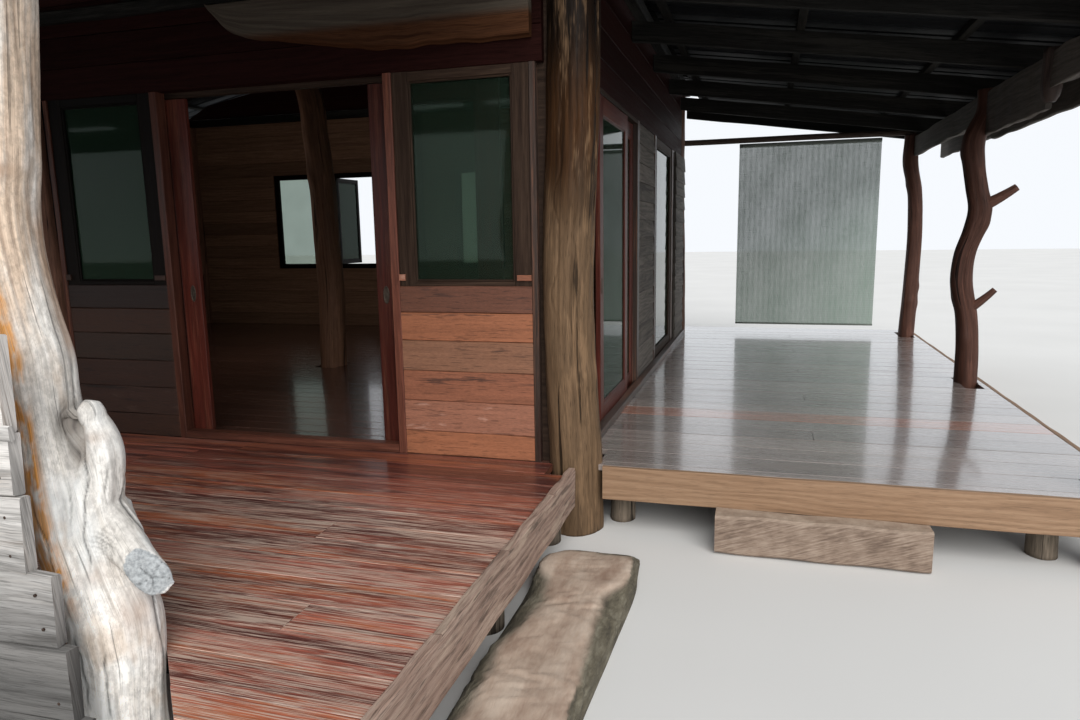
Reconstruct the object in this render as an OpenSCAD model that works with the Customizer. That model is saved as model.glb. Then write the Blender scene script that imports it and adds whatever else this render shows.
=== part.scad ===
// Timber veranda house: one room of natural log posts and board walls on short stilts,
// a front deck under a lean-to roof and a covered side veranda. Millimetres, +Z up.
// The origin is at the foot of the corner log, on the ground. +X runs to the right along
// the front wall and +Y runs back into the house.

/* [House] */
// Distance between two logs of the front wall
bay_w = 3720; // [3500:10:4200]
// Distance between the front and the rear logs
room_d = 5900; // [5700:10:6400]
// Height of the decks and of the room's floor above the ground
floor_h = 400; // [320:10:600]
// Thickness of the floor and deck boards
board_t = 35; // [20:1:50]
// Height of the door and window heads above the floor
head_h = 2200; // [2050:10:2350]
// Height of the wall plates above the floor
plate_h = 2950; // [2900:10:3300]
// Thickness of the walls
wall_t = 80; // [70:1:120]
// Distance from the side wall's outer face in to the log's axis
side_set = 15; // [0:1:40]

/* [Floor frame] */
// Height of the bearers and joists under the boards
joist_h = 150; // [100:5:200]
// Width of the bearers and joists
joist_w = 70; // [50:5:100]
// Radius of the short round stilts
stilt_r = 75; // [50:5:110]
// Height of the front deck's edge boards, from its top down
edge_h = 218; // [150:1:260]
// Height of the terrace's edge boards, from its top down
terrace_edge_h = 190; // [150:1:260]
// Thickness of the edge boards
edge_t = 35; // [20:1:50]

/* [Front deck] */
// Depth of the front deck, from the logs' axis to its front edge
deck_d = 2640; // [2620:10:3000]
// Distance that the deck reaches past the corner log's axis
deck_side = 35; // [20:1:60]
// Height of the parapet above the deck
parapet_h = 1065; // [900:5:1200]
// Thickness of the parapet's planks
parapet_t = 40; // [25:1:60]

/* [Side veranda] */
// Width of the side terrace, from the logs' axis to its outer edge
terrace_w = 2835; // [2600:5:3000]
// Length of the side terrace past the rear logs' axis
terrace_rear = 600; // [560:10:900]
// Distance of the veranda posts in from the terrace's outer edge
post_inset = 150; // [145:5:250]
// Radius of the veranda posts
post_r = 88; // [70:1:100]

/* [Logs] */
// Radius of the wall logs
log_r = 150; // [120:1:155]
// Radius of the front porch log where it stands on the ground
porch_r = 174; // [150:1:178]
// Distance of the porch logs' axis in from the front deck's edge
porch_inset = 250; // [245:5:300]
// Number of faces round a log
log_sides = 12; // [8:1:16]
// Gap left in the boards round a log
log_gap = 20; // [18:1:40]

/* [Doors and windows] */
// Width of the front doorway
door_w = 1550; // [1300:10:1600]
// Width of the door frame posts
frame_w = 50; // [40:1:70]
// Thickness of a door leaf
leaf_t = 32; // [28:1:34]
// Width of a leaf's stiles
stile_w = 140; // [80:5:160]
// Height of a leaf's rails
rail_h = 120; // [80:5:160]
// Height of the window sills above the floor
sill_h = 1010; // [800:10:1100]
// Thickness of the glass
glass_t = 8; // [6:1:12]
// Height of the raised threshold
threshold_h = 50; // [30:1:70]
// Running clearance between a leaf and what it passes
run_gap = 6; // [5:0.5:8]
// Clearance between a leaf and the rail that carries it
seat_gap = 0.4; // [0.2:0.1:0.8]
// Height of the rails that the leaves run on
track_h = 30; // [20:1:40]
// Distance that each front leaf stands out of its pocket
leaf_out = 140; // [60:5:300]
// Width of the side doorway
side_door_w = 2030; // [1900:10:2040]
// Distance from the side doorway's front jamb to its open leaf
side_leaf_y = 510; // [300:10:900]

/* [Roofs] */
// Fall of the lean-to roofs, height over length
lean_fall = 0.144; // [0.1:0.002:0.16]
// Height of the lean-to rafters' undersides at the wall, above the ground
lean_h = 3140; // [3100:5:3160]
// Depth of the lean-to rafters
lean_rafter_h = 150; // [100:5:160]
// Fall of the main roof, height over length
main_fall = 0.21; // [0.18:0.005:0.3]
// Depth of the main rafters
main_rafter_h = 120; // [80:5:150]
// Width of all rafters
rafter_w = 50; // [40:1:70]
// Height of the purlins on the rafters
purlin_h = 40; // [30:1:50]
// Overhang of the main roof past the logs' axis
main_over = 450; // [350:10:600]
// Distance between two ribs of the roof sheets
rib_pitch = 200; // [150:5:300]
// Height of the roof sheets' ribs
rib_h = 28; // [15:1:40]
// Thickness of the roof sheets
sheet_t = 6; // [4:1:10]
// Height of the plates and beams that carry the roofs
beam_h = 100; // [80:5:140]

/* [Blind and steps] */
// Width of the roller blind
blind_w = 1650; // [1200:10:1700]
// Height of the blind's lower edge above the terrace
blind_low = 100; // [60:10:600]
// Width of the timber step in front of the terrace
step_w = 1050; // [800:10:1200]
// Depth of the timber step
step_d = 145; // [120:5:400]
// How far the timber step reaches up past the terrace edge board's underside
step_lap = 5; // [1:1:40]

/* [Hidden] */

seam = 2;                                   // gap between solids that share a node
seat = 0.3;                                 // gap under a piece that rests on another
house_w = 2 * bay_w;
porch_y = deck_d - porch_inset;             // distance of the porch logs in front of the wall logs
post_x = terrace_w - post_inset;            // distance of the veranda posts from the corner log
terrace_l = room_d + terrace_rear;
side_face = -side_set;                      // outer face of the side wall, x
side_in = side_face - wall_t;               // inner face of the side wall, x
left_face = -house_w + side_set;            // outer face of the left wall, x
rear_face = room_d + wall_t;                // outer face of the rear wall, y
head_z = floor_h + head_h;
plate_z = floor_h + plate_h;
under_z = floor_h - board_t;                // underside of the boards
stilt_z = under_z - joist_h;                // top of the stilts
sill_z = floor_h + sill_h;
door_c = -bay_w / 2;                        // centre of the front doorway, x
leaf_w = door_w / 2 + 25;                   // width of a front leaf
leaf_top = head_z - run_gap - track_h;
leaf_low = floor_h + track_h + seat_gap;
leaf_y = run_gap;                           // front face of the front leaves, y
side_door_y = 270;                          // front jamb of the side doorway, y
side_leaf_w = side_door_w / 2 + 25;
side_leaf_x = side_face - 2 - leaf_t;       // inner face of the sliding side leaf, x
fixed_leaf_x = side_leaf_x - run_gap - leaf_t;
plate_w = 120;                              // width of the wall plates
main_z = plate_z + beam_h + main_fall * plate_w / 2; // underside of the main rafters over the logs
ridge_z = main_z + main_fall * bay_w;       // underside of the main rafters at the ridge
ridge_top = ridge_z - main_fall * 50;       // top of the ridge beam
ledger_z = 3050;                            // underside of the porch roof's ledger
bay_end = log_r + log_gap;                  // distance of the boards from a wall log's axis
wall_log_x = [0, -bay_w, -house_w];
rear_inset = 120;                           // distance of the rear right log inside the side wall
rear_log_x = [-rear_inset, -bay_w, -house_w];
porch_log_x = [-bay_w - 430, -house_w + 90];
veranda_post_y = [75, room_d / 2, room_d + 140];
veranda_rafter_y = [for (i = [0:5]) -390 + (room_d + 50) / 5 * i, room_d + 400];
porch_rafter_x = [for (i = [0:6]) -230 - house_w / 6 * i];
main_rafter_y = [for (i = [0:6]) -main_over + 60 + (room_d + 2 * main_over - 120 - rafter_w) * i / 6];
post_under = lean_h - lean_fall * (post_x - post_r - 45);

// Box between two opposite corners
module box(low, high) translate(low) cube(high - low);

// Upright log. line holds [z, x, y, radius] from the foot up; each ring swells and pinches
// by a few hundredths as a wave of three lobes that turns with height.
module log_form(line, sides = log_sides) {
    n = len(line);
    points = [for (i = [0:n - 1]) for (k = [0:sides - 1])
        let (a = 360 * k / sides, r = line[i][3] * (1 + 0.05 * sin(3 * a + line[i][0] / 9)))
        [line[i][1] + r * cos(a), line[i][2] + r * sin(a), line[i][0]]];
    sides_f = [for (i = [0:n - 2]) for (k = [0:sides - 1]) for (half = [0, 1])
        let (a = i * sides + k, b = i * sides + (k + 1) % sides)
        half == 0 ? [a, a + sides, b] : [b, a + sides, b + sides]];
    caps = [[for (k = [0:sides - 1]) k], [for (k = [sides - 1:-1:0]) (n - 1) * sides + k]];
    polyhedron(points, concat(sides_f, caps));
}

// Wall log from the ground to a height: a gentle bow, sized by its own radius
module wall_log(x, y, top, bow, phase)
    log_form([for (i = [0:8]) let (t = i / 8)
        [top * t, x + bow * sin(180 * t + phase) - bow * sin(phase),
         y + bow * 0.6 * (sin(220 * t + phase) - sin(phase)), log_r * (1 - 0.1 * t)]]);

// Room left in boards round an upright log
module log_hole(x, y, r) translate([x, y, -1]) cylinder(h = floor_h + 2, r = r + log_gap, $fn = 32);

// Ring frame in the XZ plane between two corners, t thick, with named stile and rail sizes
module ring_xz(x0, x1, z0, z1, y0, t, stile, low_rail, top_rail)
    difference() {
        box([x0, y0, z0], [x1, y0 + t, z1]);
        box([x0 + stile, y0 - 1, z0 + low_rail], [x1 - stile, y0 + t + 1, z1 - top_rail]);
    }

// Ring frame in the YZ plane
module ring_yz(y0, y1, z0, z1, x0, t, stile, low_rail, top_rail)
    difference() {
        box([x0, y0, z0], [x0 + t, y1, z1]);
        box([x0 - 1, y0 + stile, z0 + low_rail], [x0 + t + 1, y1 - stile, z1 - top_rail]);
    }

// Sloping timber whose underside runs from (a0, z0) to (a1, z1), h deep, cut plumb
module slope_xz(a0, z0, a1, z1, h, y0, w)
    translate([0, y0 + w, 0]) rotate([90, 0, 0]) linear_extrude(w)
        polygon([[a0, z0], [a1, z1], [a1, z1 + h], [a0, z0 + h]]);

module slope_yz(a0, z0, a1, z1, h, x0, w)
    translate([x0, 0, 0]) rotate([90, 0, 90]) linear_extrude(w)
        polygon([[a0, z0], [a1, z1], [a1, z1 + h], [a0, z0 + h]]);

// Ribbed roof sheet: flat pans with narrow trapezoid ribs, width w, length l along +X
module ribbed(w, l) {
    n = floor(w / rib_pitch);
    edge = (w - n * rib_pitch) / 2;
    top = [for (i = [0:n - 1]) let (s = edge + i * rib_pitch)
        each [[s + rib_pitch * 0.36, 0], [s + rib_pitch * 0.44, rib_h],
              [s + rib_pitch * 0.56, rib_h], [s + rib_pitch * 0.64, 0]]];
    line = concat([[0, 0]], top, [[w, 0]]);
    rotate([90, 0, 90]) linear_extrude(l)
        polygon(concat(line, [for (i = [len(line) - 1:-1:0]) line[i] + [0, sheet_t]]));
}

// Underside of the lean-to rafters at a distance from the wall logs' axis
function lean_z(d) = lean_h - lean_fall * d;
// Underside of the main rafters at a distance from the ridge
function main_under(d) = ridge_z - main_fall * d;

module front_deck() color("saddlebrown") difference() {
    box([-house_w, -deck_d + edge_t, under_z], [deck_side - edge_t, -wall_t, floor_h]);
    log_hole(porch_foot_x, -porch_y, porch_r + 15);
    for (x = porch_log_x) log_hole(x, -porch_y, porch_r);
    for (x = wall_log_x) log_hole(x, 0, log_r);
}

module front_deck_edges() color("rosybrown") {
    box([deck_side - edge_t, -deck_d, floor_h - edge_h], [deck_side, -bay_end, floor_h]);
    box([-house_w, -deck_d, floor_h - edge_h],
        [deck_side - edge_t - seam, -deck_d + edge_t, floor_h]);
}

module terrace_deck() color("dimgray") difference() {
    box([side_face, -wall_t + edge_t, under_z], [terrace_w - edge_t, terrace_l, floor_h]);
    for (y = veranda_post_y) log_hole(post_x, y, post_r + 6);
    log_hole(0, 0, log_r);
    log_hole(rear_log_x[0], room_d, log_r);
}

terrace_edge_z = floor_h - terrace_edge_h;
module terrace_edges() color("peru") {
    box([bay_end, -wall_t, terrace_edge_z], [terrace_w, -wall_t + edge_t, floor_h]);
    box([terrace_w - edge_t, -wall_t + edge_t + seam, terrace_edge_z], [terrace_w, terrace_l, floor_h]);
}

module room_floor() color("sienna") difference() {
    box([left_face, -wall_t, under_z], [side_face, rear_face, floor_h]);
    for (x = wall_log_x) log_hole(x, 0, log_r);
    for (x = rear_log_x) log_hole(x, room_d, log_r);
    log_hole(centre_x, centre_y, log_r);
}

bearer_y = [-250, -deck_d / 2 + 90, -deck_d + 490];
centre_x = -bay_w + 500;
centre_y = 2700;
room_joist_x = [for (bay = [0, 1])
    for (s = [rear_inset + 220, bay_w / 2, bay_w - 250]) -bay * bay_w - s];
terrace_joist_x = [235, terrace_w / 2 - 78, terrace_w - 390];

module floor_beams() color("tan") {
    for (y = bearer_y)
        box([-house_w, y - joist_w / 2, stilt_z], [deck_side - edge_t, y + joist_w / 2, under_z]);
    for (x = room_joist_x)
        box([x - joist_w / 2, -wall_t, stilt_z], [x + joist_w / 2, rear_face, under_z]);
    for (x = terrace_joist_x)
        box([x - joist_w / 2, -wall_t + edge_t, stilt_z], [x + joist_w / 2, terrace_l, under_z]);
}

module stilts() color("gray") {
    for (y = bearer_y) for (i = [0:3])
        translate([-35 - stilt_r - i * (house_w - 310) / 3, y, 0]) cylinder(h = stilt_z, r = stilt_r);
    for (x = room_joist_x) for (y = [350, room_d / 2 + 250, room_d - 350])
        translate([x, y, 0]) cylinder(h = stilt_z, r = stilt_r);
    for (x = terrace_joist_x) for (y = [200, terrace_l / 2, terrace_l - 200])
        translate([x, y, 0]) cylinder(h = stilt_z, r = stilt_r);
}

step_x = 800;
module step_slab() color("burlywood")
    box([step_x, -wall_t - step_d, 0], [step_x + step_w, -wall_t, terrace_edge_z + step_lap]);

// Old log that lies along the deck's right edge as a step, with a flat adzed top and a waist.
// Each station holds [y, left edge of the top, left foot, right edge of the top, right foot, height].
edge_line = [[-430, 130, 60, 400, 438, 45], [-620, 65, 0, 440, 455, 120], [-700, 20, -25, 442, 465, 130],
    [-850, 40, -35, 445, 470, 130], [-950, 120, -35, 400, 468, 130], [-1020, 150, -35, 362, 466, 130],
    [-1220, 172, -35, 352, 459, 130], [-1390, 143, -35, 378, 455, 130], [-1530, 95, -35, 390, 450, 130],
    [-1650, 105, -35, 400, 446, 130], [-1960, 120, -20, 425, 440, 130], [-2350, 140, 60, 430, 445, 130],
    [-2470, 200, 150, 380, 410, 110]];
module edge_log() color("rosybrown") {
    n = len(edge_line);
    points = [for (s = edge_line) each [
        [s[2] + seat, s[0], 0], [s[2] + seat + 0.3 * (s[1] - s[2]), s[0], s[5] * 0.65], [s[1], s[0], s[5]],
        [s[3], s[0], s[5]], [s[4], s[0], s[5] * 0.5], [s[4], s[0], 0]]];
    walls = [for (i = [0:n - 2]) for (k = [0:5]) for (half = [0, 1])
        let (a = i * 6 + k, b = i * 6 + (k + 1) % 6)
        half == 0 ? [a, b, a + 6] : [b, b + 6, a + 6]];
    caps = [[for (k = [5:-1:0]) k], [for (k = [0:5]) (n - 1) * 6 + k]];
    polyhedron(points, concat(walls, caps));
}

module corner_log() color("peru")
    log_form([[0, 0, 0, log_r], [400, -6, 0, log_r], [900, -30, 5, log_r * 0.95],
              [1350, -36, 0, log_r * 0.93], [1800, -20, -5, log_r * 0.94],
              [2200, 0, 0, log_r * 0.96], [2700, 5, 5, log_r * 0.95],
              [plate_z, 0, 0, log_r * 0.93]]);

module wall_logs() color("saddlebrown") {
    for (x = [-bay_w, -house_w]) wall_log(x, 0, plate_z, 8, x / 20);
    for (x = rear_log_x) wall_log(x, room_d, plate_z, 8, 60 + x / 15);
}

module centre_log() color("saddlebrown")
    log_form([for (p = [[0, 0, 0.86], [700, 20, 0.84], [1300, 41, 0.84], [1800, 23, 0.83], [2200, 11, 0.82],
                        [2650, -37, 0.81], [3000, -70, 0.81], [3300, -160, 0.8], [3650, -320, 0.8],
                        [ridge_top - 2 * beam_h, -480, 0.8]])
        [p[0], centre_x + p[1], centre_y, log_r * p[2]]]);

porch_under = lean_z(porch_y + 60) - 2 * beam_h;
porch_foot_x = -905;
porch_line = [[0, -5, 1.03], [200, -5, 1], [340, 4, 1.02], [478, 8, 1], [564, -35, 0.93], [674, -90, 0.84],
    [778, -128, 0.83], [899, -145, 0.78], [1072, -160, 0.72], [1218, -163, 0.68], [1366, -169, 0.69],
    [1530, -193, 0.68], [1762, -222, 0.67], [2094, -187, 0.68], [2357, -156, 0.67],
    [porch_under, -140, 0.67]];

// Front porch log: a leaning stem with a sawn-off second stem and a cut branch
module porch_log() color("antiquewhite") {
    log_form([for (p = porch_line) [p[0], porch_foot_x + p[1], -porch_y, porch_r * p[2]]]);
    translate([porch_foot_x - 45, -porch_y - 35, 640]) rotate([2, 9, 0])
        cylinder(h = 570, r1 = 105, r2 = 62, $fn = 12);
    translate([porch_foot_x + 45, -porch_y - 40, 830]) rotate([0, 125, -10])
        cylinder(h = 240, r1 = 75, r2 = 48, $fn = 12);
}

module porch_logs_left() color("tan")
    for (x = porch_log_x)
        log_form([for (i = [0:7]) let (t = i / 7)
            [porch_under * t, x + 30 * sin(200 * t + x / 9) - 30 * sin(x / 9),
             -porch_y + 12 * sin(150 * t), porch_r * (1 - 0.28 * t)]]);

veranda_lines = [
    [[0, 10, 1], [700, 0, 0.97], [1300, -40, 0.92], [1900, 10, 0.95], [2400, -10, 0.95]],
    [[0, -15, 1], [420, -14, 1], [950, -43, 0.95], [1270, -103, 0.95], [1480, -88, 0.92],
     [1685, -27, 0.95], [1830, 1, 1], [2000, -32, 0.93], [2200, -66, 0.9], [2400, -74, 0.95],
     [2500, -36, 0.95], [2600, 5, 0.92]],
    [[0, 15, 1], [400, 18, 1], [1080, 38, 0.95], [1700, 45, 0.92], [2150, 18, 0.9], [2440, -40, 0.95]]];

// Wavy posts; the middle one keeps the stubs of two cut branches
module veranda_posts() color("brown") {
    for (i = [0:2])
        let (line = veranda_lines[i], last = line[len(line) - 1])
            log_form([for (p = concat(line, [[post_under, last[1], 0.9]]))
                [p[0], post_x + p[1], veranda_post_y[i], post_r * p[2]]]);
    for (b = [[-45, 1020, 53, 285, 38], [0, 1860, 62, 290, 45]])
        translate([post_x + b[0], veranda_post_y[1], b[1]]) rotate([5, b[2], 0])
            cylinder(h = b[3], r1 = b[4], r2 = b[4] * 0.55, $fn = 12);
}

log_post_w = 35;                            // width of the post between a panel and a log
panel_out = bay_w / 2 - bay_end - log_gap - log_post_w; // outer side of a window panel, from mid bay
panel_in = door_w / 2 + frame_w;            // inner side of a window panel
module bay_sides(bay) translate([-bay * bay_w + door_c, 0, 0]) {
    children();
    mirror([1, 0, 0]) children();
}

// Board panels under the windows, and the blind panel that fills the left bay's middle
module front_dado() color("sienna") {
    for (bay = [0, 1]) bay_sides(bay)
        box([panel_in, -wall_t, floor_h], [panel_out, -wall_t + 50, sill_z]);
    box([door_c - bay_w - door_w / 2, -wall_t, floor_h],
        [door_c - bay_w + door_w / 2, -wall_t + 50, head_z]);
}

module front_posts() color("maroon")
    for (bay = [0, 1]) bay_sides(bay) {
        box([door_w / 2, -wall_t, floor_h], [panel_in, 0, head_z]);
        box([panel_out, -wall_t, floor_h], [panel_out + log_post_w, 0, head_z]);
    }

module front_header() color("saddlebrown")
    for (bay = [0, 1]) translate([-bay * bay_w + door_c, 0, 0])
        box([-bay_w / 2 + bay_end, -wall_t, head_z], [bay_w / 2 - bay_end, 0, plate_z]);

win_stile = 100;                            // stiles and rails of the front window frames
win_foot = 25;
win_top = 50;
module front_window_frames() color("brown")
    for (bay = [0, 1]) bay_sides(bay)
        ring_xz(panel_in, panel_out, sill_z, head_z, -wall_t + 10, 50, win_stile, win_foot, win_top);

// Rough live-edged beam in front of the wall over the doorway, under the porch roof's ledger
module door_beam() color("tan")
    translate([0, -wall_t, 0]) rotate([90, 0, 0]) linear_extrude(60)
        polygon([[-2180, ledger_z], [-2172, 3010], [-2060, 2900], [-1930, 2845], [-1700, 2812],
                 [-1527, 2786], [-1330, 2750], [-1155, 2724], [-920, 2716], [-681, 2717], [-430, 2716],
                 [-200, 2713], [-200, ledger_z]]);

// Floor rail that carries the front leaves, and the guide over them
module front_rails() color("darkslategray") {
    box([door_c - door_w / 2 - leaf_w, leaf_y + 6, floor_h],
        [door_c + door_w / 2 + leaf_w, leaf_y + leaf_t - 6, floor_h + track_h]);
    box([door_c - door_w / 2 - leaf_w, 0, leaf_top + run_gap],
        [door_c + door_w / 2 + leaf_w, leaf_y + leaf_t, head_z + 40]);
}

module side_rails() color("darkslategray") {
    box([side_leaf_x + 6, side_door_y, floor_h],
        [side_leaf_x + leaf_t - 6, side_jamb_y, floor_h + track_h]);
    box([side_in, side_door_y, leaf_top + run_gap], [side_face, side_jamb_y, head_z]);
}

module thresholds() color("gray") {
    box([door_c - door_w / 2, -wall_t, floor_h], [door_c + door_w / 2, -run_gap, floor_h + threshold_h]);
    box([side_face, side_door_y - side_post_w, floor_h],
        [side_face + 60, room_d - bay_end, floor_h + threshold_h]);
}

side_jamb_y = side_door_y + side_door_w;
side_win_y = [3450, 4750];
side_post_w = 100;                          // width of the side wall's posts before the far one
far_post_w = 200;
module side_boards() color("slategray") {
    box([side_face - 50, side_jamb_y + side_post_w, floor_h],
        [side_face, side_win_y[0] - side_post_w, head_z]);
    box([side_face - 50, side_win_y[1] + far_post_w, floor_h], [side_face, room_d - bay_end, head_z]);
}

module side_posts() color("maroon") {
    box([side_in, side_door_y - side_post_w, floor_h], [side_face, side_door_y, head_z]);
    box([side_in, side_jamb_y, floor_h], [side_face, side_jamb_y + side_post_w, head_z]);
    box([side_in, side_win_y[0] - side_post_w, floor_h], [side_face, side_win_y[0], head_z]);
    box([side_in, side_win_y[1], floor_h], [side_face, side_win_y[1] + far_post_w, head_z]);
}

module side_header() color("dimgray")
    box([side_in, bay_end, head_z], [side_face, room_d - bay_end, plate_z]);

module side_window_frame() color("brown")
    ring_yz(side_win_y[0], side_win_y[1], floor_h, head_z, side_face - 60, 50, 100, 120, 80);

module fixed_leaf() color("brown")
    ring_yz(side_jamb_y - side_leaf_w, side_jamb_y, floor_h, leaf_top, fixed_leaf_x, leaf_t,
            stile_w - 30, rail_h, rail_h);

casing_w = 55;
win_low = floor_h + 840;
win_high = head_z;
rear_win_x = [for (w = [[-2280, -1580], [-1310, -610], [610, 1310], [1580, 2280]])
    [w[0] - bay_w, w[1] - bay_w]];
left_win_y = [for (c = [1650, room_d - 1650]) [c - 350, c + 350]];
module rear_lower() color("saddlebrown")
    for (bay = [0, 1])
        box([rear_log_x[bay + 1] + bay_end, room_d, floor_h],
            [rear_log_x[bay] - bay_end, rear_face, win_low]);

rear_edges = [rear_log_x[2] + bay_end, each rear_win_x[0], each rear_win_x[1], rear_log_x[1] - bay_end,
              rear_log_x[1] + bay_end, each rear_win_x[2], each rear_win_x[3], rear_log_x[0] - bay_end];
module rear_piers() color("saddlebrown")
    for (i = [0:2:10])
        box([rear_edges[i], room_d, win_low], [rear_edges[i + 1], rear_face, win_high]);

module rear_upper() color("saddlebrown")
    for (bay = [0, 1])
        box([rear_log_x[bay + 1] + bay_end, room_d, win_high],
            [rear_log_x[bay] - bay_end, rear_face, plate_z]);

module left_wall() color("saddlebrown") difference() {
    box([left_face, bay_end, floor_h], [left_face + wall_t, room_d - bay_end, plate_z]);
    for (w = left_win_y) box([left_face - 1, w[0], win_low], [left_face + wall_t + 1, w[1], win_high]);
}

// Ring casings inside the rear and left window holes
module casings() color("brown") {
    for (w = rear_win_x)
        ring_xz(w[0], w[1], win_low, win_high, casing_out - 60, 60, casing_w, casing_w, casing_w);
    for (w = left_win_y)
        ring_yz(w[0], w[1], win_low, win_high, left_face + 10, 60, casing_w, casing_w, casing_w);
}

// Casement that stands open outside the second rear window, against its left casing
sash_w = rear_win_x[1][1] - rear_win_x[1][0] - 2 * casing_w - 2 * run_gap;
casing_out = room_d + 75;                   // outer face of the rear casings
module open_sash() color("brown")
    translate([rear_win_x[1][0] + 40, casing_out + seat, 0]) rotate([0, 0, 88]) {
        ring_xz(0, sash_w, win_low + 60, win_high - 60, 0, 35, 50, 55, 55);
        box([50, 13, win_low + 115], [sash_w - 50, 13 + glass_t, win_high - 115]);
    }

module wall_glass() color("darkseagreen", 0.5) {
    for (bay = [0, 1]) bay_sides(bay)
        box([panel_in + win_stile, -wall_t + 30, sill_z + win_foot],
            [panel_out - win_stile, -wall_t + 30 + glass_t, head_z - win_top]);
    box([side_face - 40, side_win_y[0] + 100, floor_h + 120],
        [side_face - 40 + glass_t, side_win_y[1] - 100, head_z - 80]);
    box([fixed_leaf_x + 12, side_jamb_y - side_leaf_w + stile_w - 30, floor_h + rail_h],
        [fixed_leaf_x + 12 + glass_t, side_jamb_y - stile_w + 30, leaf_top - rail_h]);
    for (i = [0, 2, 3])
        box([rear_win_x[i][0] + casing_w, room_d + 40, win_low + casing_w],
            [rear_win_x[i][1] - casing_w, room_d + 40 + glass_t, win_high - casing_w]);
    for (w = left_win_y)
        box([left_face + 30, w[0] + casing_w, win_low + casing_w],
            [left_face + 30 + glass_t, w[1] - casing_w, win_high - casing_w]);
}

// Front leaf with its leading edge at x = 0 and its body towards +X
module front_leaf() ring_xz(0, leaf_w, leaf_low, leaf_top, leaf_y, leaf_t, stile_w, rail_h, rail_h);
module front_pane()
    box([stile_w, leaf_y + 12, leaf_low + rail_h],
        [leaf_w - stile_w, leaf_y + 12 + glass_t, leaf_top - rail_h]);
right_lead = door_c + door_w / 2 - leaf_out;
left_lead = door_c - door_w / 2 + leaf_out;
module leaf_right() color("maroon") translate([right_lead, 0, 0]) front_leaf();
module leaf_right_glass() color("darkseagreen", 0.5) translate([right_lead, 0, 0]) front_pane();
module leaf_left() color("maroon") translate([left_lead, 0, 0]) mirror([1, 0, 0]) front_leaf();
module leaf_left_glass() color("darkseagreen", 0.5)
    translate([left_lead, 0, 0]) mirror([1, 0, 0]) front_pane();

side_lead = side_door_y + side_leaf_y;
module leaf_side() color("maroon")
    ring_yz(side_lead, side_lead + side_leaf_w, leaf_low, leaf_top, side_leaf_x, leaf_t,
            stile_w - 30, rail_h, rail_h);
module leaf_side_glass() color("darkseagreen", 0.5)
    box([side_leaf_x + 12, side_lead + stile_w - 30, leaf_low + rail_h],
        [side_leaf_x + 12 + glass_t, side_lead + side_leaf_w - stile_w + 30, leaf_top - rail_h]);

module wall_plates() color("tan") {
    for (y = [0, room_d])
        box([-house_w - plate_w / 2, y - plate_w / 2, plate_z],
            [plate_w / 2, y + plate_w / 2, plate_z + beam_h]);
    for (x = [0, -house_w])
        box([x - plate_w / 2, plate_w / 2 + seam, plate_z],
            [x + plate_w / 2, room_d - plate_w / 2 - seam, plate_z + beam_h]);
}

module ridge_beam() color("tan")
    box([-bay_w - 50, -main_over, ridge_top - 2 * beam_h], [-bay_w + 50, room_d + main_over, ridge_top]);

module gables() color("dimgray") difference() {
    for (y = [-plate_w / 2, room_d])
        translate([0, y + 60, 0]) rotate([90, 0, 0]) linear_extrude(60)
            polygon([[-house_w, main_z], [0, main_z], [0, main_z + main_rafter_h],
                     [-bay_w, ridge_z + main_rafter_h], [-house_w, main_z + main_rafter_h]]);
    box([-bay_w - 50, -main_over, 0], [-bay_w + 50, room_d + main_over, ridge_top]);
}

module main_rafters() color("dimgray")
    for (y = main_rafter_y) translate([-bay_w, 0, 0]) for (m = [0, 1]) mirror([m, 0, 0])
        let (foot = bay_w + main_over)
            slope_xz(seam, main_under(seam), foot, main_under(foot), main_rafter_h, y, rafter_w);

// Purlins lie on the rafters of all three roofs
module purlins() color("dimgray") {
    for (m = [0, 1]) translate([-bay_w, 0, 0]) mirror([m, 0, 0])
        for (d = [for (i = [0:3]) 200 + (bay_w - 420) / 3 * i, bay_w + main_over - 120])
            slope_xz(d, main_under(d) + main_rafter_h, d + 60, main_under(d + 60) + main_rafter_h, purlin_h,
                     -main_over, room_d + 2 * main_over);
    for (d = [235, post_x * 0.44, post_x - 450, post_x + 240])
        slope_xz(d, lean_z(d) + lean_rafter_h, d + 60, lean_z(d + 60) + lean_rafter_h, purlin_h,
                 -430, room_d + 900);
    for (d = [250, porch_y * 0.52, porch_y - 240, porch_y + 300])
        slope_yz(-d - 60, lean_z(d + 60) + lean_rafter_h, -d, lean_z(d) + lean_rafter_h, purlin_h,
                 -house_w - 380, house_w + 430);
}

main_run = bay_w + main_over + 60;
main_angle = atan(main_fall);
module roof_half()
    translate([10, -main_over - 40, main_under(10) + main_rafter_h + purlin_h + seat])
        rotate([0, main_angle, 0])
        ribbed(room_d + 2 * main_over + 80, main_run / cos(main_angle));
module roof_right() color("lightgray") translate([-bay_w, 0, 0]) roof_half();
module roof_left() color("lightgray") translate([-bay_w, 0, 0]) mirror([1, 0, 0]) roof_half();

module ridge_cap() color("silver")
    translate([-bay_w, room_d + main_over + 60,
               ridge_z + main_rafter_h + purlin_h + 2 * seat + (rib_h + sheet_t) / cos(main_angle)])
        rotate([90, 0, 0])
        linear_extrude(room_d + 2 * main_over + 120)
            polygon([[-220, -220 * main_fall], [0, 0], [220, -220 * main_fall], [220, 6 - 220 * main_fall],
                     [0, 6], [-220, 6 - 220 * main_fall]]);

lean_angle = atan(lean_fall);
lean_lift = lean_rafter_h + purlin_h + seat;
module porch_rafters() color("dimgray")
    for (x = porch_rafter_x)
        slope_yz(-porch_y - 420, lean_z(porch_y + 420), -wall_t, lean_z(wall_t), lean_rafter_h,
                 x - rafter_w, rafter_w);

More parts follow.
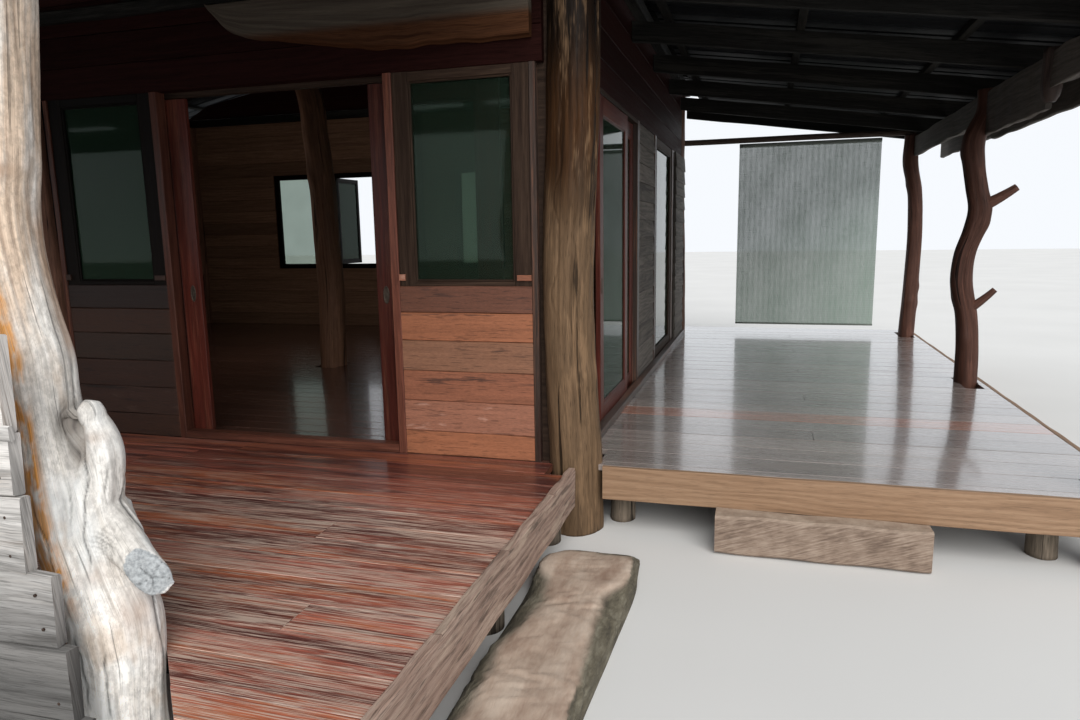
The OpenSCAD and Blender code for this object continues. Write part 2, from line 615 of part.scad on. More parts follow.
// Beam on the porch logs, and the ledger on the wall
module porch_beam() color("tan") {
    box([-house_w - 300, -porch_y - 60, porch_under], [40, -porch_y + 60, porch_under + 2 * beam_h]);
    for (bay = [0, 1])
        box([-(bay + 1) * bay_w + bay_end, -wall_t - 50, ledger_z],
            [-bay * bay_w - bay_end, -wall_t, lean_z(wall_t + 50)]);
}

module porch_roof() color("lightgray")
    translate([60, -170, lean_z(170) + lean_lift]) rotate([0, 0, -90]) rotate([0, lean_angle, 0])
        translate([0, -house_w - 460, 0]) ribbed(house_w + 460, (porch_y + 320) / cos(lean_angle));

rafter_end = post_x + 330;                  // x where the veranda's rafters end
module veranda_rafters() color("dimgray")
    for (y = veranda_rafter_y)
        let (a = y < 0 ? 80 : side_face)
            slope_xz(a, lean_z(a), rafter_end, lean_z(rafter_end), lean_rafter_h, y, rafter_w);

// Planks that butt on the veranda posts under the rafters, with a short log where two of them meet,
// and the fascia on the rafters' ends
plank_x = post_x - 25;
plank_top = lean_z(plank_x + 40);
stub_y = room_d / 4;
fascia_low = 2500;
module eave_planks() color("gray") {
    difference() {
        union() {
            for (p = [[-430, stub_y, 220], [stub_y, veranda_post_y[1], 340],
                      [veranda_post_y[1], veranda_post_y[2], 225]])
                box([plank_x, p[0], plank_top - p[2]], [plank_x + 40, p[1], plank_top]);
            translate([plank_x + 20, stub_y, plank_top - 300]) cylinder(h = 300, r = 60, $fn = 24);
        }
        veranda_posts();
    }
    box([rafter_end, -430, fascia_low],
        [rafter_end + edge_t, room_d + 450, lean_z(rafter_end) + lean_rafter_h - 20]);
}

module veranda_roof() color("lightgray")
    translate([175, -440, lean_z(175) + lean_lift]) rotate([0, lean_angle, 0])
        ribbed(room_d + 920, (post_x + 230) / cos(lean_angle));

// Round pole that ties the far post to the rear log and carries the blind
tie_r = 36;
module rear_tie() color("dimgray") difference() {
    translate([-rear_inset, blind_y, blind_top + 30 + tie_r]) rotate([0, 90, 0])
        cylinder(h = post_x + rear_inset, r = tie_r, $fn = 24);
    veranda_posts();
    eave_planks();
    wall_logs();
}

blind_x = 670;
blind_y = room_d + 177;
blind_top = 2740;
module blind() color("darkseagreen") {
    translate([blind_x, blind_y, blind_top]) rotate([0, 90, 0]) cylinder(h = blind_w, r = 29.7);
    box([blind_x, blind_y - 3, floor_h + blind_low], [blind_x + blind_w, blind_y + 3, blind_top]);
}

// Parapet nailed outside the deck's edge; its planks step back from the leaning porch log.
// Each entry holds [height of the plank's top above the ground, x of its right end].
parapet_steps = [[380, -750], [600, -775], [810, -805], [1025, -880], [1200, -885],
    [floor_h + parapet_h, -890]];
parapet_low = 170;
module parapet() color("gray") {
    translate([0, -deck_d, 0]) rotate([90, 0, 0]) linear_extrude(parapet_t)
        polygon(concat(
            [[porch_log_x[0] + 5, parapet_low]],
            [for (i = [0:5]) each [[parapet_steps[i][1], i == 0 ? parapet_low : parapet_steps[i - 1][0]],
                                   [parapet_steps[i][1], parapet_steps[i][0]]]],
            [[porch_log_x[0] + 5, floor_h + parapet_h]]));
    box([-house_w, -deck_d - parapet_t, parapet_low], [porch_log_x[0] - 5, -deck_d, floor_h + parapet_h]);
}

front_deck();
front_deck_edges();
terrace_deck();
terrace_edges();
room_floor();
floor_beams();
stilts();
step_slab();
edge_log();
corner_log();
wall_logs();
centre_log();
porch_log();
porch_logs_left();
veranda_posts();
front_dado();
front_posts();
front_header();
front_window_frames();
door_beam();
front_rails();
side_rails();
thresholds();
side_boards();
side_posts();
side_header();
side_window_frame();
fixed_leaf();
rear_lower();
rear_piers();
rear_upper();
left_wall();
casings();
open_sash();
wall_glass();
leaf_right();
leaf_right_glass();
leaf_left();
leaf_left_glass();
leaf_side();
leaf_side_glass();
wall_plates();
ridge_beam();
gables();
main_rafters();
purlins();
roof_left();
roof_right();
ridge_cap();
porch_rafters();
porch_beam();
porch_roof();
veranda_rafters();
eave_planks();
veranda_roof();
rear_tie();
blind();
parapet();
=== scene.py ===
import math
from functools import cache
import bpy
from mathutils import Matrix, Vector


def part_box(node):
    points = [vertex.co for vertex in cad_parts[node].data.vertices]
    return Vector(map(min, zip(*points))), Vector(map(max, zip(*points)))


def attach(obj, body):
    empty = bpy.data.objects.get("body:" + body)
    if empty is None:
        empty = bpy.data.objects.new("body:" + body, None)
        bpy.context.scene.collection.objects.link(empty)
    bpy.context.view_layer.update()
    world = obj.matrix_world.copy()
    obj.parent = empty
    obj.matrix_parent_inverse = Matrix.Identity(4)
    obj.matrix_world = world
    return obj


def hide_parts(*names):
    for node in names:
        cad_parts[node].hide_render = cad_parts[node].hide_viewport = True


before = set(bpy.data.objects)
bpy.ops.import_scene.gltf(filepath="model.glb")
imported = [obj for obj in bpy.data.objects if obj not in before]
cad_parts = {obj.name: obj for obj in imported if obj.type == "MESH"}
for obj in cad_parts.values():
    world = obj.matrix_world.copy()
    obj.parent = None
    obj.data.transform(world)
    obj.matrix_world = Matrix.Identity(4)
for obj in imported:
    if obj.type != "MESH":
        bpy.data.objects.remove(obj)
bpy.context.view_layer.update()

from types import SimpleNamespace

import bpy
import numpy as np
from bpy.props import FloatProperty, FloatVectorProperty, PointerProperty
from mathutils import Matrix

bl_info = {
    "name": "Timber Veranda House",
    "version": (1, 0, 0),
    "blender": (4, 5, 0),
    "location": "3D View > Sidebar > House",
    "description": "Timber house with natural logs, a front deck, a side veranda and ribbed roofs",
    "category": "Add Mesh",
}

X, Y, Z = np.eye(3)
TURN = 2 * math.pi
WAVES = 4

# Places that the pieces share, in metres, read from the frame where a node gives them
DECK_LOW, DECK_HIGH = np.array(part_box("front_deck"))
TERRACE_LOW, TERRACE_HIGH = np.array(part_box("terrace_deck"))
FLOOR = DECK_HIGH[2]
BOARD = DECK_HIGH[2] - DECK_LOW[2]
HOUSE = -DECK_LOW[0]
BAY = HOUSE / 2
ROOM = 5.9
HEAD = FLOOR + 2.2
LOG = 0.15
REAR_INSET = 0.12
POST_X = 2.685
POST_Y = (0.075, 2.95, 6.04)
LEAN_FALL = 0.144
LOG_TOP = 3.35
LOG_HOLE = LOG - 0.012
STRIP_TOP = 3.0
SILL = 0.84
PORCH_LEFT = (-BAY - 0.43, -HOUSE + 0.09)


def unit(v):
    """Vectors of length one."""
    return v / np.linalg.norm(v, axis=-1, keepdims=True)


def drift(rng, count, t, low, high):
    """count slow random lines along t: each is a sum of WAVES sines with low to high turns per unit of t."""
    turns = rng.uniform(low, high, (count, WAVES, 1))
    phase = rng.uniform(0, TURN, (count, WAVES, 1))
    return np.sin(TURN * turns * t + phase).sum(axis=1) / math.sqrt(WAVES)


def ripple(rng, t, low, high):
    """One slow random line along t."""
    return drift(rng, 1, t, low, high)[0]


def rises(value, start, width):
    """Nought up to start, one from start + width on, straight between them."""
    return np.clip((value - start) / width, 0, 1)


def falls(value, end, width):
    """One up to end - width, nought from end on, straight between them."""
    return np.clip((end - value) / width, 0, 1)


def half_turn(angle):
    """The same angle between minus pi and pi."""
    return (angle + math.pi) % TURN - math.pi


def columns(*values):
    """Numbers and rows of numbers side by side, as the columns of one table."""
    return np.stack(np.broadcast_arrays(*values), axis=-1)


def circle(count):
    """Evenly spaced angles of a full turn."""
    return np.linspace(0, TURN, count, endpoint=False)


def eased(corners, ease):
    """Each corner of a ring of four gives way to two points, ease metres along its two sides."""
    back = unit(np.roll(corners, 1, axis=-2) - corners)
    ahead = unit(np.roll(corners, -1, axis=-2) - corners)
    both = np.stack([corners + back * ease, corners + ahead * ease], axis=-2)
    return both.reshape(*corners.shape[:-2], 8, 3)


def curve(line, count):
    """Smooth line through the rows of line, spaced evenly in the first column."""
    line = np.asarray(line, float)
    x = np.linspace(line[0, 0], line[-1, 0], count)
    i = np.clip(np.searchsorted(line[:, 0], x, side="right") - 1, 0, len(line) - 2)
    t = ((x - line[i, 0]) / (line[i + 1, 0] - line[i, 0]))[:, None]
    slope = np.gradient(line, line[:, 0], axis=0)
    step = (line[i + 1, 0] - line[i, 0])[:, None]
    a, b, u, v = line[i], line[i + 1], slope[i] * step, slope[i + 1] * step
    out = a * (2 * t ** 3 - 3 * t ** 2 + 1) + b * (3 * t ** 2 - 2 * t ** 3)
    out += u * (t ** 3 - 2 * t ** 2 + t) + v * (t ** 3 - t ** 2)
    out[:, 0] = x
    return out


class Skin:
    """One mesh made of tubes. A tube is an array of rings, stations by points by 3: its sides join each
    ring to the next, and a flat face closes each end. The map "grain" holds metres along and round the
    tube, "tone" is one number for each tube, and "cut" marks its end faces."""

    def __init__(self, seed):
        self.rng = np.random.default_rng(seed)
        self.points, self.corners, self.sizes = [], [], []
        self.maps, self.tones, self.cuts, self.soft = [], [], [], []
        self.count = 0

    def add(self, rings, tone=None, smooth=False, shift=True):
        """rings is stations by points by 3, or a batch of such arrays."""
        rings = np.asarray(rings, float)
        if rings.ndim == 3:
            rings = rings[None]
        tubes, stations, sides, _ = rings.shape
        mid = rings.mean(axis=2, keepdims=True)
        spoke = rings[:, 0] - mid[:, 0]
        area = np.cross(spoke, np.roll(spoke, -1, axis=1)).sum(axis=1)
        wrong = (area * (mid[:, 1, 0] - mid[:, 0, 0])).sum(axis=1) < 0
        rings = np.where(wrong[:, None, None, None], rings[:, :, ::-1], rings)
        along = np.zeros((tubes, stations))
        along[:, 1:] = np.cumsum(np.linalg.norm(np.diff(mid[:, :, 0], axis=1), axis=2), axis=1)
        side = np.linalg.norm(np.roll(rings, -1, axis=2) - rings, axis=3).mean(axis=1)
        around = np.concatenate([np.zeros((tubes, 1)), np.cumsum(side, axis=1)], axis=1)
        if shift:
            along += self.rng.uniform(0, 60, (tubes, 1))
            around += self.rng.uniform(0, 60, (tubes, 1))
        tone = self.rng.uniform(0, 1, tubes) if tone is None else np.broadcast_to(tone, tubes)
        b, s, k = np.meshgrid(np.arange(tubes), np.arange(stations - 1), np.arange(sides), indexing="ij")
        s4 = np.stack([s, s, s + 1, s + 1], axis=-1)
        k4 = np.stack([k, k + 1, k + 1, k], axis=-1)
        b4 = b[..., None]
        index = self.count + (b4 * stations + s4) * sides + k4 % sides
        plan = np.stack([along[b4, s4], around[b4, k4]], axis=-1).reshape(-1, 4, 2)
        self._faces(index.reshape(-1, 4), plan, tone[b].ravel(), 0.0, smooth)
        for end, order in ((0, slice(None, None, -1)), (stations - 1, slice(None))):
            ring = rings[:, end]
            spoke = ring - ring.mean(axis=1, keepdims=True)
            flat = unit(np.cross(spoke, np.roll(spoke, -1, axis=1)).sum(axis=1) + 1e-12)[:, None]
            e1 = unit(spoke[:, :1] + 1e-12)
            e2 = np.cross(flat, e1)
            plan = np.stack([(spoke * e1).sum(axis=2), (spoke * e2).sum(axis=2)], axis=-1)
            index = self.count + (np.arange(tubes)[:, None] * stations + end) * sides + np.arange(sides)
            self._faces(index[:, order], plan[:, order], tone, 1.0, False)
        self.points.append(rings.reshape(-1, 3))
        self.count += tubes * stations * sides

    def _faces(self, index, plan, tone, cut, smooth):
        self.corners.append(index.ravel())
        self.sizes.append(np.full(len(index), index.shape[1]))
        self.maps.append(plan.reshape(-1, 2))
        self.tones.append(tone)
        self.cuts.append(np.full(len(index), cut))
        self.soft.append(np.full(len(index), smooth))

    def timber(self, start, end, ease=0.003, stations=2, wander=0.0, tone=None, turns=(0.3, 2.5)):
        """Beams whose rings of four corners run straight from start to end. Each eased corner strays
        by up to about wander metres along a slow random line, which gives hand sawn edges."""
        start, end = np.asarray(start, float).reshape(-1, 4, 3), np.asarray(end, float).reshape(-1, 4, 3)
        t = np.linspace(0, 1, stations)
        rings = start[:, None] + (end - start)[:, None] * t[:, None, None]
        if wander:
            count = len(start) * 8
            length = np.linalg.norm((end - start).mean(axis=1), axis=1).mean()
            stray = drift(self.rng, count, t * length, *turns).reshape(len(start), 2, 4, stations) * wander
            flat = unit(rings[:, :, 1:2] - rings[:, :, 0:1])
            tall = unit(rings[:, :, 3:4] - rings[:, :, 0:1])
            rings = rings + flat * stray[:, 0].transpose(0, 2, 1)[..., None]
            rings = rings + tall * stray[:, 1].transpose(0, 2, 1)[..., None]
        self.add(eased(rings, ease), tone)

    def boards(self, origin, along, up, out, rects, thick, ease=0.003, **more):
        """Boards on a plane. A row of rects is start and end at the low edge, low edge, start and end at
        the high edge, high edge. thick is the thickness at the low and at the high edge."""
        origin, along, up, out = (np.asarray(v, float) for v in (origin, along, up, out))
        rects = np.asarray(rects, float)
        thin, fat = np.broadcast_to(thick[1], len(rects)), np.broadcast_to(thick[0], len(rects))

        def ring(low, high):
            a = origin + along * rects[:, low, None] + up * rects[:, 2, None]
            b = origin + along * rects[:, high, None] + up * rects[:, 5, None]
            return np.stack([a, b, b + out * thin[:, None], a + out * fat[:, None]], axis=1)
        self.timber(ring(0, 3), ring(1, 4), ease, **more)

    def make(self, name, material, replaces=(), body="house"):
        """Turns the tubes into a mesh object at the origin, riding on body."""
        points, corners = np.concatenate(self.points), np.concatenate(self.corners)
        sizes = np.concatenate(self.sizes)
        mesh = bpy.data.meshes.new(name)
        mesh.vertices.add(len(points))
        mesh.vertices.foreach_set("co", points.ravel())
        mesh.loops.add(len(corners))
        mesh.loops.foreach_set("vertex_index", corners.astype(np.int32))
        mesh.polygons.add(len(sizes))
        mesh.polygons.foreach_set("loop_start", (np.cumsum(sizes) - sizes).astype(np.int32))
        mesh.polygons.foreach_set("use_smooth", np.concatenate(self.soft))
        mesh.update(calc_edges=True)
        mesh.uv_layers.new(name="grain").data.foreach_set("uv", np.concatenate(self.maps).ravel())
        for key, values in (("tone", self.tones), ("cut", self.cuts)):
            mesh.attributes.new(key, "FLOAT", "FACE").data.foreach_set("value", np.concatenate(values))
        return place(mesh, name, material, body, replaces)


def place(mesh, name, material, body, replaces):
    """Links a mesh as a piece at the origin, with its material, its body and the CAD nodes it stands for."""
    if mesh.validate():
        raise RuntimeError(name + " has broken faces")
    piece = bpy.data.objects.new(name, mesh)
    bpy.context.scene.collection.objects.link(piece)
    mesh.materials.append(material)
    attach(piece, body)
    if replaces:
        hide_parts(*replaces)
    return piece


def rect(u0, u1, v0, v1):
    """A board with square ends, as a row of rects."""
    return (u0, u1, v0, u0, u1, v1)


def courses(low, high, height, start=None):
    """Edges of the rows of boards between low and high, about height apart."""
    if start is None:
        return np.linspace(low, high, max(1, round((high - low) / height)) + 1)
    inner = start + height * np.arange(math.ceil((low - start) / height),
                                       math.floor((high - start) / height) + 1)
    inner = inner[(inner > low + 0.02) & (inner < high - 0.02)]
    return np.concatenate([[low], inner, [high]])


def runs(low, high, holes):
    """What is left of low to high when the holes are cut out of it."""
    left = [(low, high)]
    for a, b in holes:
        left = [piece for c, d in left for piece in ((c, min(d, a)), (max(c, b), d))
                if piece[1] - piece[0] > 0.01]
    return left


def lay_floor(skin, x, y_edges, logs, joints, slots=(), tint=None):
    """Floor boards along X in rows, cut round the logs, with butt joints at the given places. A slot (x0, x1,
    slope, y0, y1) cuts the rows between y0 and y1 short: x1 holds at y0 and runs on by slope. tint gives each
    board's tone from the middles of the rows."""
    rects, gap = [], setting("joint")
    for row, (a, b) in enumerate(zip(y_edges[:-1], y_edges[1:])):
        inside = [slot for slot in slots if slot[3] < (a + b) / 2 < slot[4]]
        holes = [(x0, x1 + slope * (a - y0)) for x0, x1, slope, y0, _ in inside]
        for cx, cy, r in () if inside else logs:
            off = max(a - cy, cy - b, 0)
            if off < r:
                half = math.sqrt(r * r - off * off)
                holes.append((cx - half, cx + half))
        for c, d in runs(x[0], x[1], holes):
            cuts = [c] + [j for j in joints(row) if c + 0.3 < j < d - 0.3] + [d]
            rects += [rect(p + gap / 2, q - gap / 2, a + gap / 2, b - gap / 2)
                      for p, q in zip(cuts[:-1], cuts[1:])]
            slant = [slope for x0, x1, slope, y0, _ in inside if abs(x1 + slope * (a - y0) - c) < 1e-6]
            if slant:
                first = list(rects[1 - len(cuts)])
                first[3] += slant[0] * (b - a)
                rects[1 - len(cuts)] = tuple(first)
    drop = skin.rng.uniform(0, 0.001, len(rects))
    tone = None if tint is None else tint(np.array([(r[2] + r[5]) / 2 for r in rects]))
    skin.boards((0, 0, FLOOR - BOARD), X, Y, Z, rects, (BOARD - drop,) * 2, 0.002, tone=tone)


def box(node):
    """Low and high corner of a CAD node."""
    return np.array(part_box(node))


def solids(node):
    """Corners of each separate solid of a CAD node: labels spread over shared corners until they rest."""
    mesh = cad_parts[node].data
    points = np.empty(len(mesh.vertices) * 3)
    mesh.vertices.foreach_get("co", points)
    corners = np.empty(len(mesh.loops), np.int32)
    mesh.loops.foreach_get("vertex_index", corners)
    keys, back = np.unique(np.round(points.reshape(-1, 3), 5), axis=0, return_inverse=True)
    faces = back.ravel()[corners].reshape(-1, 3)
    label, last = np.arange(len(keys)), None
    while last is None or (label != last).any():
        last = label.copy()
        np.minimum.at(label, faces, label[faces].min(axis=1, keepdims=True).repeat(3, axis=1))
    return [keys[label == one] for one in np.unique(label)]


def boxes(node):
    """Low and high corner of each separate solid of a CAD node."""
    return [(corners.min(axis=0), corners.max(axis=0)) for corners in solids(node)]


def ends(corners):
    """The two end rings of an eight cornered timber, across its longest side."""
    axis = int(np.argmax(np.ptp(corners, axis=0)))
    i, j = [n for n in range(3) if n != axis]
    order = np.argsort(corners[:, axis], kind="stable")

    def wind(ring):
        spoke = ring - ring.mean(axis=0)
        return ring[np.argsort(np.arctan2(spoke[:, j], spoke[:, i]))]
    return wind(corners[order[:4]]), wind(corners[order[4:]])


def dress(names, piece, material, seed, ease, wander, spacing):
    """One piece with a hand sawn timber in place of each eight cornered solid of the named nodes."""
    skin = Skin(seed)
    for name in names:
        for corners in solids(name):
            start, end = ends(corners)
            length = np.linalg.norm((end - start).mean(axis=0))
            skin.timber(start, end, ease, stations=max(2, round(length / spacing)), wander=wander)
    return skin.make(piece, material, names)


def knots(rng, low, high, count, size, swell):
    """Knots at random heights from low to high and at random angles."""
    heights = rng.uniform(low, high, count)
    return [(height, angle, size, swell) for height, angle in zip(heights, rng.uniform(0, 6, count))]


def stem(line, sides, stations, rng, lobe, ridges, bumps=(), cracks=()):
    """Rings of a natural log round a smooth line of x, y and radius over height. The radius carries three
    lobes that turn with height, fine ridges, bumps for knots of (height, angle, size, swell) and cracks of
    (low, high, angle, width, depth)."""
    c = curve(line, stations)
    z, radius = c[:, :1], c[:, 3:4]
    a = circle(sides)[None]
    swell = lobe * np.sin(3 * a + np.radians(z * 1000 / 9))
    for n in (5, 8, 13, 21):
        phase = ripple(rng, z[:, 0], 0.2, 1.2)[:, None] * 2.5
        swell = swell + ridges * 3 / n ** 0.5 * np.sin(n * a + phase)
    bump = np.zeros_like(swell)
    for height, angle, size, lift in bumps:
        d = np.hypot(half_turn(a - angle) * radius, z - height) / size
        bump += lift * np.exp(-d * d)
    for low, high, angle, width, depth in cracks:
        middle = angle + 0.12 * ripple(rng, z[:, 0], 0.5, 4.0)[:, None]
        fade = rises(z, low, 0.15) * falls(z, high, 0.15)
        bump -= depth * fade * np.exp(-(half_turn(a - middle) * radius / width) ** 2)
    r = radius * (1 + swell) + bump
    return np.stack([c[:, 1:2] + r * np.cos(a), c[:, 2:3] + r * np.sin(a), z + 0 * a], axis=-1)


class Val:
    """A socket of a material. Sums of Vals and numbers add Math nodes."""

    def __init__(self, net, socket):
        self.net, self.socket = net, socket

    def math(self, operation, *values):
        """Adds a Math node over values."""
        return self.net.node("Math", values, operation=operation)

    def __add__(self, other):
        return self.math("ADD", self, other)

    def __radd__(self, other):
        return self.math("ADD", other, self)

    def __sub__(self, other):
        return self.math("SUBTRACT", self, other)

    def __rsub__(self, other):
        return self.math("SUBTRACT", other, self)

    def __mul__(self, other):
        return self.math("MULTIPLY", self, other)

    def __truediv__(self, other):
        return self.math("DIVIDE", self, other)

    def __neg__(self):
        return self.math("MULTIPLY", self, -1.0)


class Net:
    """The node tree of one material, or of a world."""

    def __init__(self, name, kind="materials"):
        self.owner = getattr(bpy.data, kind).new(name)
        self.owner.use_nodes = True
        self.tree = self.owner.node_tree
        self.tree.nodes.clear()

    def node(self, kind, inputs=(), out=0, stops=None, **settings):
        """Adds a node, sets it, links or fills its inputs by place or name, and gives back one output."""
        made = self.tree.nodes.new("ShaderNode" + kind)
        for key, value in settings.items():
            setattr(made, key, value)
        if stops:
            ramp = made.color_ramp
            ramp.elements[0].position, ramp.elements[-1].position = stops[0][0], stops[-1][0]
            for stop in stops[1:-1]:
                ramp.elements.new(stop[0])
            for element, stop in zip(ramp.elements, stops):
                element.color = (*stop[1], 1)
        for key, value in inputs.items() if isinstance(inputs, dict) else enumerate(inputs):
            if isinstance(value, Val):
                self.tree.links.new(value.socket, made.inputs[key])
            else:
                made.inputs[key].default_value = value
        return Val(self, made.outputs[out]) if len(made.outputs) else made

    def place(self):
        """Coordinates of the object, in metres."""
        return self.node("TexCoord", out="Object")

    def flat(self):
        """The map "grain": metres along and across the fibres."""
        return self.node("UVMap", uv_map="grain")

    def attribute(self, name):
        """A number that the mesh carries."""
        return self.node("Attribute", out="Fac", attribute_name=name)

    def part(self, vector, axis):
        return self.node("SeparateXYZ", [vector], out=axis)

    def upward(self):
        """How far a face looks up, from minus one to one."""
        return self.part(self.node("NewGeometry", out="True Normal"), 2)

    def vector(self, x, y, z):
        return self.node("CombineXYZ", [x, y, z])

    def sine(self, value):
        return self.node("Math", [value], operation="SINE")

    def limit(self, value):
        """Keeps value between nought and one."""
        return self.node("Clamp", [value, 0.0, 1.0])

    def ramp(self, value, *stops):
        """Colour over value, from stops of (value, colour)."""
        return self.node("ValToRGB", [value], stops=stops)

    def mix(self, share, a, b):
        """Goes from a to b by share."""
        a, b = ((*c, 1) if isinstance(c, tuple) and len(c) == 3 else c for c in (a, b))
        return self.node("Mix", {0: share, 6: a, 7: b}, out=2, data_type="RGBA")

    def shade(self, colour, share):
        """Multiplies a colour."""
        return self.node("VectorMath", {0: colour, "Scale": share}, operation="SCALE")

    def step(self, value, low, high):
        """Rises from nought at low to one at high, 3 t^2 - 2 t^3 between them."""
        return self.node("MapRange", [value, low, high, 0.0, 1.0], interpolation_type="SMOOTHSTEP")

    def noise(self, vector, scale, detail, rough=0.5, twist=0.0):
        return self.node("TexNoise", {"Vector": vector, "Scale": scale, "Detail": detail,
                                      "Roughness": rough, "Distortion": twist})

    def grain(self, vector, scale, detail, rough=0.5, twist=0.0):
        """Noise of a different fineness along each axis: scale holds its turns per metre."""
        wide = self.node("VectorMath", [vector, scale], operation="MULTIPLY")
        return self.noise(wide, 1.0, detail, rough, twist)

    def finish(self, colour, rough, height=None, depth=0.001, metal=0.0, coat=0.0, coat_rough=0.1,
               specular=0.5, alpha=None):
        """Principled surface with a bump whose height is in units of depth metres."""
        inputs = {"Base Color": colour, "Roughness": rough, "Metallic": metal, "Coat Weight": coat,
                  "Coat Roughness": coat_rough, "Specular IOR Level": specular}
        if alpha is not None:
            inputs["Alpha"] = alpha
        if height is not None:
            inputs["Normal"] = self.node("Bump", {"Strength": 1.0, "Distance": depth, "Height": height})
        self.node("OutputMaterial", [self.node("BsdfPrincipled", inputs)])
        return self.owner


class Look(SimpleNamespace):
    """What a wood has so far: its net, coordinates, noises, and sockets for colour, roughness and height."""

    def cover(self, share, colour):
        """Covers a share of the surface with another colour."""
        self.colour = self.net.mix(share, self.colour, colour)

    def along(self, axis, low, high):
        """Rises from nought at low to one at high along an axis."""
        return self.net.step(self.net.part(self.spot, axis), low, high)

    def dim(self, share):
        """Multiplies the colour."""
        self.colour = self.net.shade(self.colour, share)


def wood(name, dark, mid, light, rough, depth, fibre=1.0, coat=0.0, coat_rough=0.15, vary=0.45,
         figure=0.25, pores=0.45, specular=0.4, change=None):
    """Timber with fibres, streaks and figure along the map of the piece. vary is how much one board differs
    from the next, and change(look) adds what is special to one wood."""
    net = Net(name)
    flat, tone, cut = net.flat(), net.attribute("tone"), net.attribute("cut")
    across = net.part(flat, 1)
    p = net.vector(net.part(flat, 0), across, tone * 31.0)
    fine = net.grain(p, (7 * fibre, 260 * fibre, 260 * fibre), 2.0, 0.6)
    streak = net.grain(p, (1.3 * fibre, 42 * fibre, 42 * fibre), 3.0, 0.65)
    field = net.grain(p, (0.7, 5, 5), 2.0)
    rings = net.sine((across * 26.0 + field * 7.0) * TURN) * 0.5 + 0.5
    value = fine * 0.3 + streak * (0.7 - figure) + rings * figure * 0.6 + field * figure * 0.4
    colour = net.ramp(value, (0.3, dark), (0.48, mid), (0.68, light))
    pore = net.step(net.grain(p, (12, 420, 420), 1.0), 0.6, 0.68) * pores
    colour = net.shade(colour, (1.0 - vary * 0.5 + tone * vary) * (1.0 - pore))
    colour = net.mix(cut * 0.75, colour, net.shade(net.ramp(field, (0.3, dark), (0.7, mid)), 0.7))
    low, high = rough
    look = Look(net=net, spot=net.place(), p=p, tone=tone, fine=fine, streak=streak, colour=colour,
                rough=streak * (high - low) * 1.6 + (low * 1.3 - high * 0.3),
                height=value + fine * 0.5 - pore)
    if change:
        change(look)
    return net.finish(look.colour, look.rough, look.height, depth, coat=coat, coat_rough=coat_rough,
                      specular=specular)


def worn(look, colour, share, scale, low, high, rougher):
    """Pale or dark worn streaks that follow the fibres, over a share of the surface."""
    net = look.net
    patch = net.grain(look.p, scale, 3.0, 0.6)
    mask = net.limit(net.step(patch * 0.55 + look.fine * 0.25 + look.streak * 0.2, low, high) * share)
    look.cover(mask, colour)
    look.rough = look.rough + mask * rougher


def setting(name):
    """What the user has set."""
    return getattr(bpy.context.scene.veranda_house, name)


def shades(colour, dark, light):
    """Dark, middle and light shade of a colour, or of the setting that has this name."""
    c = tuple(setting(colour) if isinstance(colour, str) else colour)
    return tuple(v * dark for v in c), c, tuple(min(1.0, v * light) for v in c)


@cache
def deck_wood():
    """Oiled mahogany boards: purple brown to orange red, with fine pale scratches that grow to the front,
    painted shade towards the wall and painted light mid-deck.
    """
    def change(look):
        net = look.net
        forward = net.limit((-net.part(look.spot, 1) - 0.25) / 1.7)
        side = net.limit((net.part(look.spot, 0) + 2.4) / 2.4)
        worn(look, (0.46, 0.140, 0.052), 0.7, (0.5, 4, 1), 0.49, 0.59, 0.0)
        worn(look, (0.070, 0.020, 0.018), 0.9, (0.8, 14, 1), 0.48, 0.56, -0.03)
        thin = net.grain(look.p, (5, 290, 1), 2.0, 0.6)
        long = net.grain(look.p, (2.2, 150, 1), 2.0, 0.6)
        patch = net.grain(look.p, (1.0, 9, 1), 3.0, 0.6)
        middle = net.step(forward, 0.05, 0.5)
        pale = thin * 0.5 + long * 0.3 + patch * 0.2 + middle * 0.05 + forward * 0.012 + side * forward * 0.02
        pale = net.step(pale, 0.56, 0.61)
        look.cover(pale * (middle * 0.35 + 0.38), (0.60, 0.47, 0.385))
        # Painted shade and light: darker near the wall under the roof, brightest in the middle of the deck.
        look.dim(middle * 0.44 - forward * 0.27 + 0.92)
        look.rough = look.rough + forward * 0.10 + pale * 0.12
    return wood("oiled_deck_boards", *shades("deck_colour", 0.45, 1.6), rough=(0.24, 0.40), depth=0.0010,
                coat=0.6, coat_rough=0.2, vary=0.6, change=change)


@cache
def terrace_wood():
    """Polished dark boards, some of them redder, with a soft wear."""
    def change(look):
        net = look.net
        red = net.step(look.tone, 0.80, 0.84) * 0.9
        look.cover(red, net.ramp(look.streak, (0.3, (0.24, 0.095, 0.062)), (0.7, (0.46, 0.21, 0.14))))
        worn(look, (0.20, 0.165, 0.145), 0.5, (0.9, 7, 1), 0.5, 0.6, 0.12)
    return wood("polished_terrace_boards", *shades("terrace_colour", 0.6, 1.4), rough=(0.16, 0.34),
                depth=0.0006, coat=1.0, coat_rough=0.11, vary=0.6, figure=0.15, specular=0.9, change=change)


@cache
def floor_wood():
    """Dark polished boards of the room's floor."""
    return wood("dark_floor_boards", *shades("floor_colour", 0.55, 1.5), rough=(0.14, 0.3), depth=0.0006,
                coat=0.6, coat_rough=0.1, vary=0.5)


@cache
def grey_edge():
    """Edge boards of the deck: grey brown, with dark rot along the grain and pale dry wood."""
    def change(look):
        worn(look, (0.48, 0.37, 0.29), 0.7, (2.5, 16, 1), 0.50, 0.60, 0.0)
        worn(look, (0.075, 0.05, 0.038), 0.8, (3.5, 40, 1), 0.535, 0.60, 0.0)
    return wood("weathered_edge_board", (0.17, 0.105, 0.078), (0.31, 0.21, 0.165), (0.43, 0.32, 0.26),
                fibre=1.6, rough=(0.7, 0.9), depth=0.002, vary=0.3, change=change)


